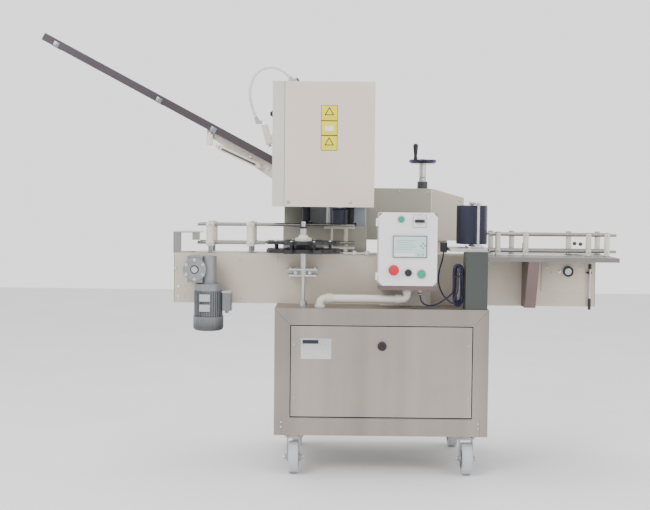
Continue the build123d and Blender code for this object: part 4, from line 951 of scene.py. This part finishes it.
def motorFittings():
    low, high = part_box("motor_housing")
    x, y = low[0] + motorParts["body"] / 2, (low[1] + high[1]) / 2
    pads = []
    for z in motorParts["padHeights"]:
        pads.append(block("motorPads", (x - 0.030, y - 0.0615, z - 0.014), (x + 0.012, y - 0.052, z + 0.014),
                          0.0015))
    dress(joined("motorPads", pads), "root", "grey")
    reach, flangeZ = motorParts["flange"]
    bolts = [hexBolt("motorBolts", (x + reach * cos(a), y + reach * sin(a), flangeZ), 0.008, "Z", -1)
             for a in (pi / 4, 3 * pi / 4, 5 * pi / 4, 7 * pi / 4)]
    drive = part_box("drive_shaft")
    dx, dz = (drive[0][0] + drive[1][0]) / 2, (drive[0][2] + drive[1][2]) / 2
    gearLow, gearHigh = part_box("gearbox_housing")
    for k in range(6):
        angle = pi / 6 + k * pi / 3
        reach = motorParts["capCircle"]
        bolts.append(hexBolt("motorBolts", (dx + reach * cos(angle), gearLow[1], dz + reach * sin(angle)),
                             0.0075))
    for k in range(4):
        angle = pi / 4 + k * pi / 2
        reach = motorParts["faceCircle"]
        bolts.append(hexBolt("motorBolts", (dx + reach * cos(angle), gearHigh[1] - 0.025,
                                            dz + reach * sin(angle)), 0.008))
    for sy in (-0.026, 0.026):
        for sz in (0.636, 0.696):
            bolts.append(domeScrew("motorBolts", (high[0], y + sy, sz), 0.0035, "X", 1))
    dress(joined("motorBolts", bolts), "root", "bright")
    seal = ringOf("shaftSeal", (dx, gearLow[1] - 0.0005, dz), 0.0165, 0.0132, 0.003)
    dress(seal, "root", "black")
    # cooling slots in the cowl's bottom: a ring of dark bars, painted shade standing in for the openings
    slots = []
    for k in range(motorParts["slots"]):
        angle = k * 2 * pi / motorParts["slots"]
        bar = block("cowlSlotShade", (0.018, -0.002, low[2] - 0.0004), (0.040, 0.002, low[2] + 0.0004), 0.0002)
        bar.data.transform(Matrix.Translation((x, y, 0)) @ Matrix.Rotation(angle, 4, "Z"))
        slots.append(bar)
    dress(joined("cowlSlotShade", slots), "root", "column")
    gland = [roundBar("terminalGland", (high[0] - 0.018, y, 0.622), 0.009, 0.012, "Z", 0.001, 6)]
    gland.append(block("terminalGland", (high[0] - 0.0365, y - 0.0355, 0.6985),
                       (high[0] + 0.0005, y + 0.0355, 0.7045), 0.0012))
    dress(joined("terminalGland", gland), "root", "grey")


conveyorFittings()
motorFittings()
print("stage: conveyor and drive")


# rails, posts and star wheel
railParts = {"laneY": -0.045, "infeedPosts": (-0.687, -0.524), "infeedReach": 0.074, "outfeedReach": 0.086,
             "outfeedFront": (0.471, 0.583, 0.835, 0.909), "outfeedBack": (0.466, 0.553, 0.790, 0.910),
             "knobs": ((0.779, 0.904), (0.803, 0.902)), "slideY": -0.131, "slideZ": 0.856}


def railFittings():
    laneY = railParts["laneY"]
    steel, caps = [], []
    for x in railParts["infeedPosts"]:
        for side in (-1, 1):
            y = laneY + side * railParts["infeedReach"]
            steel.append(roundBar("postBolts", (x, y, 0.977), 0.007, 0.004, "Z", 0.0008, 6))
            for z in (0.892, 0.966):
                caps.append(ringOf("postCollars", (x, y, z), 0.0172, 0.0155, 0.016, "Z"))
                steel.append(hexBolt("postBolts", (x, y + side * 0.016, z), 0.0065, "Y", side))
    outfeedPosts = [(x, -1) for x in railParts["outfeedFront"]] + [(x, 1) for x in railParts["outfeedBack"]]
    for x, side in outfeedPosts:
        y = laneY + side * railParts["outfeedReach"]
        steel.append(roundBar("postBolts", (x, y, 0.9462), 0.0122, 0.0035, "Z", 0.0008, 32))
        steel.append(roundBar("postBolts", (x, y, 0.8555), 0.0135, 0.0025, "Z", 0.0005, 32))
        for z in (0.871, 0.937):
            steel.append(hexBolt("postBolts", (x, y + side * 0.011, z), 0.005, "Y", side))
    dress(joined("postBolts", steel), "root", "bright")
    dress(joined("postCollars", caps), "root", "ivory")
    knobs = []
    for x, z in railParts["knobs"]:
        knobs.append(turnedProfile("railKnobs",
                                   [(0, 0), (0.006, 0), (0.0075, 0.002), (0.0075, 0.009), (0.005, 0.011),
                                    (0.003, 0.012),
                                                 (0.003, 0.024), (0, 0.024)], (x, -0.125, z), "Y", 24))
    dress(joined("railKnobs", knobs), "root", "column")
    # bracket and slide rod in front of the head
    y, z = railParts["slideY"], railParts["slideZ"]
    clamp = [roundBar("slideRod", (-0.085, y, z), 0.004, 0.130, "X")]
    clamp += [block("slideRod", (x0, y - 0.006, z - 0.005), (x1, y + 0.010, z + 0.010), 0.0015)
              for x0, x1 in ((-0.112, -0.098), (-0.060, -0.044))]
    clamp += [hexBolt("slideRod", (x, y - 0.006, z + 0.003), 0.006) for x in (-0.105, -0.052)]
    dress(joined("slideRod", clamp), "root", "bright")
    lip = block("plateEdge", (0.570, -0.1275, 0.880), (0.586, -0.1265, 0.905), 0.0004)
    dress(lip, "root", "chute")


starParts = {"top": 0.906, "hubCircle": 0.024, "rimCircle": 0.115, "pillars": 8}


def starFittings():
    x, y = starAxis
    top, hubReach, rimReach = starParts["top"], starParts["hubCircle"], starParts["rimCircle"]
    bolts = [hexBolt("starBolts", (x + hubReach * cos(a), y + hubReach * sin(a), top), 0.007, "Z", 1)
             for a in (0, pi / 2, pi, 3 * pi / 2)]
    for k in range(starParts["pillars"]):
        angle = pi / 2 + (2 * k + 1) * pi / starParts["pillars"]
        at = (x + rimReach * cos(angle), y + rimReach * sin(angle), top)
        bolts.append(domeScrew("starBolts", at, 0.0055, "Z", 1))
    bolts.append(roundBar("starBolts", (x, y, 0.978), 0.0095, 0.008, "Z", 0.001, 6))
    dress(joined("starBolts", bolts), "star", "bright")
    hub = turnedProfile("starHub",
                        [(0.0130, 0.9065), (0.0335, 0.9065), (0.0335, 0.916), (0.020, 0.921), (0.0165, 0.929),
                                    (0.0130, 0.929)], (x, y, 0))
    dress(hub, "star", "ivory")
    clamps = [hexBolt("bearingBolts", (bx, y - 0.018, 0.797), 0.007, "Z", 1) for bx in (x - 0.050, x + 0.046)]
    clamps += [hexBolt("bearingBolts", (bx, -0.221, 0.7815), 0.0075) for bx in (x - 0.030, x + 0.026)]
    dress(joined("bearingBolts", clamps), "root", "bright")


railFittings()
starFittings()
print("stage: rails and star wheel")


# control box
screenPlace = {"x": (0.040, 0.172), "z": (0.849, 0.934), "rim": 0.0028, "rows": 5}
# x, z and radius of the buttons' legend rings
lidParts = {"face": -0.300, "rings": ((0.071, 0.997, 0.011), (0.101, 0.790, 0.013), (0.152, 0.786, 0.015)),
            "stop": (0.044, 0.800), "switch": (0.142, 0.991), "capPlaces": (-0.0075, 0.2055)}


def controlFittings():
    face = lidParts["face"]
    x0, x1 = screenPlace["x"]
    z0, z1 = screenPlace["z"]
    rim = screenPlace["rim"]
    bars = [block("screenBezel", (x0, face - 0.006, z0), (x0 + rim, face - 0.0001, z1), 0.0005),
            block("screenBezel", (x1 - rim, face - 0.006, z0), (x1, face - 0.0001, z1), 0.0005),
            block("screenBezel", (x0, face - 0.006, z0), (x1, face - 0.0001, z0 + rim), 0.0005),
            block("screenBezel", (x0, face - 0.006, z1 - rim), (x1, face - 0.0001, z1), 0.0005)]
    bezel = joined("screenBezel", bars)
    dress(bezel, "lid", "frameGrey")
    glass = block("screenGlass", (x0 + 0.002, face - 0.0050, z0 + 0.002),
                  (x1 - 0.002, face - 0.0001, z1 - 0.002), 0.0003)
    dress(glass, "lid", "screen")
    rows = []
    for row in range(screenPlace["rows"]):
        z = z1 - 0.019 - row * 0.0085
        end = x1 - 0.040 - 0.010 * ((row * 2) % 3)
        rows.append(block("screenRows", (x0 + 0.014, face - 0.0054, z), (end, face - 0.0048, z + 0.0016), 0))
    dress(joined("screenRows", rows), "lid", "screenInk")
    strip = block("screenStrip", (x0 + 0.006, face - 0.0056, z0 + 0.006),
                  (x1 - 0.046, face - 0.0050, z0 + 0.017), 0.0001)
    dress(strip, "lid", "white")
    keys = []
    for dx, dz in ((0, 0.009), (0, -0.009), (-0.008, 0), (0.008, 0)):
        cx, cz = x1 - 0.015 + dx, (z0 + z1) / 2 + 0.004 + dz
        keys.append(block("screenKeys", (cx - 0.0034, face - 0.0062, cz - 0.0034),
                          (cx + 0.0034, face - 0.0040, cz + 0.0034), 0.0007))
    keys.append(block("screenKeys", (x1 - 0.036, face - 0.0062, z0 + 0.009),
                      (x1 - 0.028, face - 0.0040, z0 + 0.014), 0.0007))
    keys.append(block("screenKeys", (x1 - 0.020, face - 0.0062, z0 + 0.009),
                      (x1 - 0.012, face - 0.0040, z0 + 0.014), 0.0007))
    dress(joined("screenKeys", keys), "lid", "screenInk")

    # legend plates round the buttons, and the ring under the stop button
    plates = []
    for x, z, r in lidParts["rings"]:
        plates.append(ringOf("buttonRings", (x, face - 0.0048, z), r + 0.0035, r + 0.0006, 0.0032))
    dress(joined("buttonRings", plates), "lid", "grey")
    stopX, stopZ = lidParts["stop"]
    collar = ringOf("stopRing", (stopX, face - 0.0012, stopZ), 0.0225, 0.0205, 0.0016)
    dress(collar, "lid", "grey")
    sx, sz = lidParts["switch"]
    plate = block("switchPlate", (sx - 0.0235, face - 0.0048, sz - 0.0235),
                  (sx + 0.0235, face - 0.0038, sz + 0.0235), 0.0015)
    dress(plate, "lid", "white")
    border = block("switchRim", (sx - 0.0245, face - 0.0042, sz - 0.0245),
                   (sx + 0.0245, face - 0.0034, sz + 0.0245), 0.0003)
    dress(border, "lid", "frameGrey")
    ticks = [block("switchTicks", (sx - 0.0225, face - 0.0052, sz - 0.0012),
                   (sx - 0.0195, face - 0.0047, sz + 0.0012), 0),
             block("switchTicks", (sx - 0.0012, face - 0.0052, sz + 0.0195),
                   (sx + 0.0012, face - 0.0047, sz + 0.0225), 0)]
    dress(joined("switchTicks", ticks), "lid", "ink")

    # grey corner caps, and the gasket between box and lid
    corners = []
    boxLow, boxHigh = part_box("control_box")
    for x in lidParts["capPlaces"]:
        for z in (boxLow[2] + 0.0075, boxHigh[2] - 0.0075):
            corners.append(block("cornerCaps", (x - 0.0072, face + 0.0015, z - 0.0072),
                                 (x + 0.0072, face + 0.0136, z + 0.0072), 0.003))
    dress(joined("cornerCaps", corners), "root", "capGrey")
    gasket = block("lidGasket", (-0.0145, face + 0.0138, 0.7395), (0.2125, face + 0.0141, 1.0215), 0)
    hollowOut(gasket, lambda face: abs(face.normal.y) > 0.9, 0.003)
    dress(soften(gasket, 0), "root", "black")
    # stop button's dished crown
    crown = turnedProfile("stopCrown",
                          [(0, 0.0010), (0.010, 0.0012), (0.013, 0.0022), (0.0165, 0.0020), (0.018, 0.0004),
                           (0.018, 0)],
                          (stopX, face - 0.024, stopZ), "Y")
    dress(crown, "stop_button", "red")


conduitParts = {"y": -0.250, "z": 0.683, "starts": (-0.215, 0.053), "riser": (0.101, 0.712), "step": 0.005,
                "rib": (0.0205, 0.0187, 0.0026)}


def conduitFittings():
    y, z, step = conduitParts["y"], conduitParts["z"], conduitParts["step"]
    ribs = [ringOf("couplingRibs", (start + k * step, y, z), *conduitParts["rib"], "X")
            for start in conduitParts["starts"] for k in range(5)]
    riserX, riserZ = conduitParts["riser"]
    ribs += [ringOf("couplingRibs", (riserX, y, riserZ + k * step), *conduitParts["rib"], "Z")
             for k in range(4)]
    dress(joined("couplingRibs", ribs), "root", "conduit")
    gland = turnedProfile("glandRelief",
                          [(0.0032, 0.700), (0.0044, 0.698), (0.0062, 0.704), (0.0070, 0.7085),
                           (0.0094, 0.7095),
                                          (0.0094, 0.719), (0.0080, 0.722), (0.0032, 0.722)],
                          (0.153, -0.235, 0))
    dress(gland, "root", "black")


controlFittings()
conduitFittings()
print("stage: control box and conduit")


# pressing roller, tower and handwheel
rollerParts = {"top": 0.887, "boltPlaces": [(x, y) for x in (0.338, 0.396) for y in (-0.285, -0.180)],
               "armPivot": (0.363, -0.150)}


def rollerFittings():
    top = rollerParts["top"]
    bolts = [hexBolt("rollerBolts", (x, y, top), 0.009, "Z", 1) for x, y in rollerParts["boltPlaces"]]
    dress(joined("rollerBolts", bolts), "root", "bright")
    blockParts = [block("pillowBlock", (0.340, -0.275, top), (0.404, -0.225, top + 0.0045), 0.0015),
                  ringOf("pillowBlock", (0.376, -0.250, top + 0.0065), 0.0165, 0.0112, 0.008, "Z")]
    dress(joined("pillowBlock", blockParts), "root", "bright")
    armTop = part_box("roller_arm")[1][2]
    nut = roundBar("armNut", (*rollerParts["armPivot"], armTop + 0.003), 0.011, 0.006, "Z", 0.001, 6)
    dress(nut, "roller_arm", "bright")
    sensorLow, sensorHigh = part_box("bottle_sensor")
    eye = ringOf("sensorEye", ((sensorLow[0] + sensorHigh[0]) / 2, sensorHigh[1] + 0.0006, 0.890), 0.0075,
                 0.005, 0.003)
    dress(eye, "root", "bright")
    cap = block("sensorCap", (sensorLow[0] - 0.0004, sensorLow[1] - 0.0006, 0.8985),
                (sensorHigh[0] - 0.0004, sensorHigh[1] - 0.012, 0.9058), 0.0012)
    dress(cap, "root", "drum")


towerParts = {"front": 0.185, "neck": (0.195, 0.250), "columns": (-0.305, -0.120), "columnY": 0.100}


def towerFittings():
    low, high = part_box("rear_housing")
    front = towerParts["front"]
    neckX, neckY = towerParts["neck"]
    screws = [domeScrew("housingScrews", (x, front, z), 0.0055) for x in (0.092, 0.214, 0.352)
              for z in (1.106, 0.915) if not (x > 0.3 and z > 1)]
    screws.append(domeScrew("housingScrews", (0.352, front, 1.070), 0.0055))
    for x in (-0.030, 0.350):
        for z in (0.930, 1.060):
            screws.append(domeScrew("housingScrews", (x, high[1], z), 0.0055, out=1))
    dress(joined("housingScrews", screws), "root", "bright")
    fold = block("housingFold", (0.2265, front - 0.0016, low[2] + 0.250), (0.2300, front + 0.0005, 1.1205),
                 0.0006)
    dress(fold, "root", "silver")
    neck = [ringOf("neckRibs", (neckX, neckY, 1.125 + k * 0.0055), 0.0228, 0.0205, 0.0028, "Z", 0.0005)
            for k in range(5)]
    neck.append(ringOf("neckRibs", (neckX, neckY, 1.1365), 0.0221, 0.0216, 0.0295, "Z", 0))
    dress(joined("neckRibs", neck), "root", "column")
    nut = [roundBar("neckNut", (neckX, neckY, 1.160), 0.0175, 0.012, "Z", 0.0015, 6)]
    nut.append(ringOf("neckNut", (neckX, neckY, 1.1505), 0.0195, 0.012, 0.004, "Z"))
    dress(joined("neckNut", nut), "root", "bright")
    hub = turnedProfile("wheelHub",
                        [(0, 1.2505), (0.006, 1.2505), (0.0075, 1.248), (0.012, 1.247), (0.012, 1.2464),
                         (0, 1.2464)],
                        (neckX, neckY, 0))
    dress(hub, "handwheel", "bright")
    # wipers and flange bolts round the columns, and the tower's screws
    columnY = towerParts["columnY"]
    wipers = [ringOf("columnWipers", (x, columnY, 1.0385), 0.0265, 0.0182, 0.005, "Z")
              for x in towerParts["columns"]]
    dress(joined("columnWipers", wipers), "head", "black")
    bolts = [hexBolt("towerBolts", (x + 0.0225 * cos(a), columnY + 0.0225 * sin(a), 0.974), 0.0045, "Z", 1)
             for x in towerParts["columns"] for a in (pi / 4, 3 * pi / 4, 5 * pi / 4, 7 * pi / 4)]
    towerLow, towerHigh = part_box("tower_base")
    for x in (towerLow[0] + 0.02, towerHigh[0] - 0.02):
        for z in (0.680, 0.930):
            bolts.append(domeScrew("towerBolts", (x, towerHigh[1], z), 0.006, out=1))
    dress(joined("towerBolts", bolts), "root", "bright")


chuteParts = {"run": 0.923, "drop": 0.488, "start": (-1.370, -0.045, 1.718), "length": 1.040,
              "straps": (0.050, 0.520, 0.770), "strapWidth": 0.024}


def chuteFittings():
    # bright top lips of the chute, its joint plates and the bolts of its bracket
    slope = atan2(chuteParts["drop"], chuteParts["run"])
    along = Vector((cos(slope), 0, -sin(slope)))
    upward = Vector((sin(slope), 0, cos(slope)))
    turn = Matrix((along, Vector((0, 1, 0)), upward)).transposed().to_4x4()
    seat = Matrix.Translation(chuteParts["start"]) @ turn
    lips = []
    for side in (-1, 1):
        y0, y1 = sorted((side * 0.0190, side * 0.0316))
        lips.append(block("chuteLips", (0.001, y0, 0.0151), (chuteParts["length"], y1, 0.0163), 0.0004))
    lips = joined("chuteLips", lips)
    lips.data.transform(seat)
    dress(lips, "head", "chuteLip")
    straps = []
    for at in chuteParts["straps"]:
        end = at + chuteParts["strapWidth"]
        straps.append(block("chuteStraps", (at, -0.0326, -0.0166), (end, 0.0326, -0.0151), 0.0006))
        for side in (-1, 1):
            y0, y1 = sorted((side * 0.0312, side * 0.0326))
            straps.append(block("chuteStraps", (at, y0, -0.0166), (end, y1, 0.006), 0.0005))
    straps = joined("chuteStraps", straps)
    straps.data.transform(seat)
    dress(straps, "head", "chuteLip")
    bolts = [hexBolt("bracketBolts", (x, -0.047, z), 0.008) for x,
             z in ((-0.688, 1.333), (-0.530, 1.238), (-0.460, 1.190))]
    bolts += [hexBolt("bracketBolts", (x, -0.067, z), 0.008) for x, z in ((-0.661, 1.280), (-0.493, 1.203))]
    dress(joined("bracketBolts", bolts), "head", "bright")
    arm = Matrix.Translation((-0.672, -0.065, 1.285)) @ Matrix.Rotation(atan2(87, 190), 4, "Y")
    beam = block("armBeam", (0.012, -0.0035, -0.0120), (0.196, 0.0006, 0.0110), 0.001)
    beam.data.transform(arm)
    dress(beam, "head", "beigeSide")
    # the arm's slot: a dark strip of painted shade standing in for the opening
    slot = block("armSlotShade", (0.028, -0.0039, -0.0060), (0.180, -0.0033, 0.0020), 0.0002)
    slot.data.transform(arm)
    dress(slot, "head", "column")
    pad = [block("capSensor", (-0.709, -0.072, 1.286), (-0.684, -0.049, 1.330), 0.003),
           roundBar("capSensor", (-0.6965, -0.0605, 1.334), 0.008, 0.010, "Z", 0.001)]
    dress(joined("capSensor", pad), "head", "ivory")


rollerFittings()
towerFittings()
chuteFittings()
print("stage: roller, tower and chute")
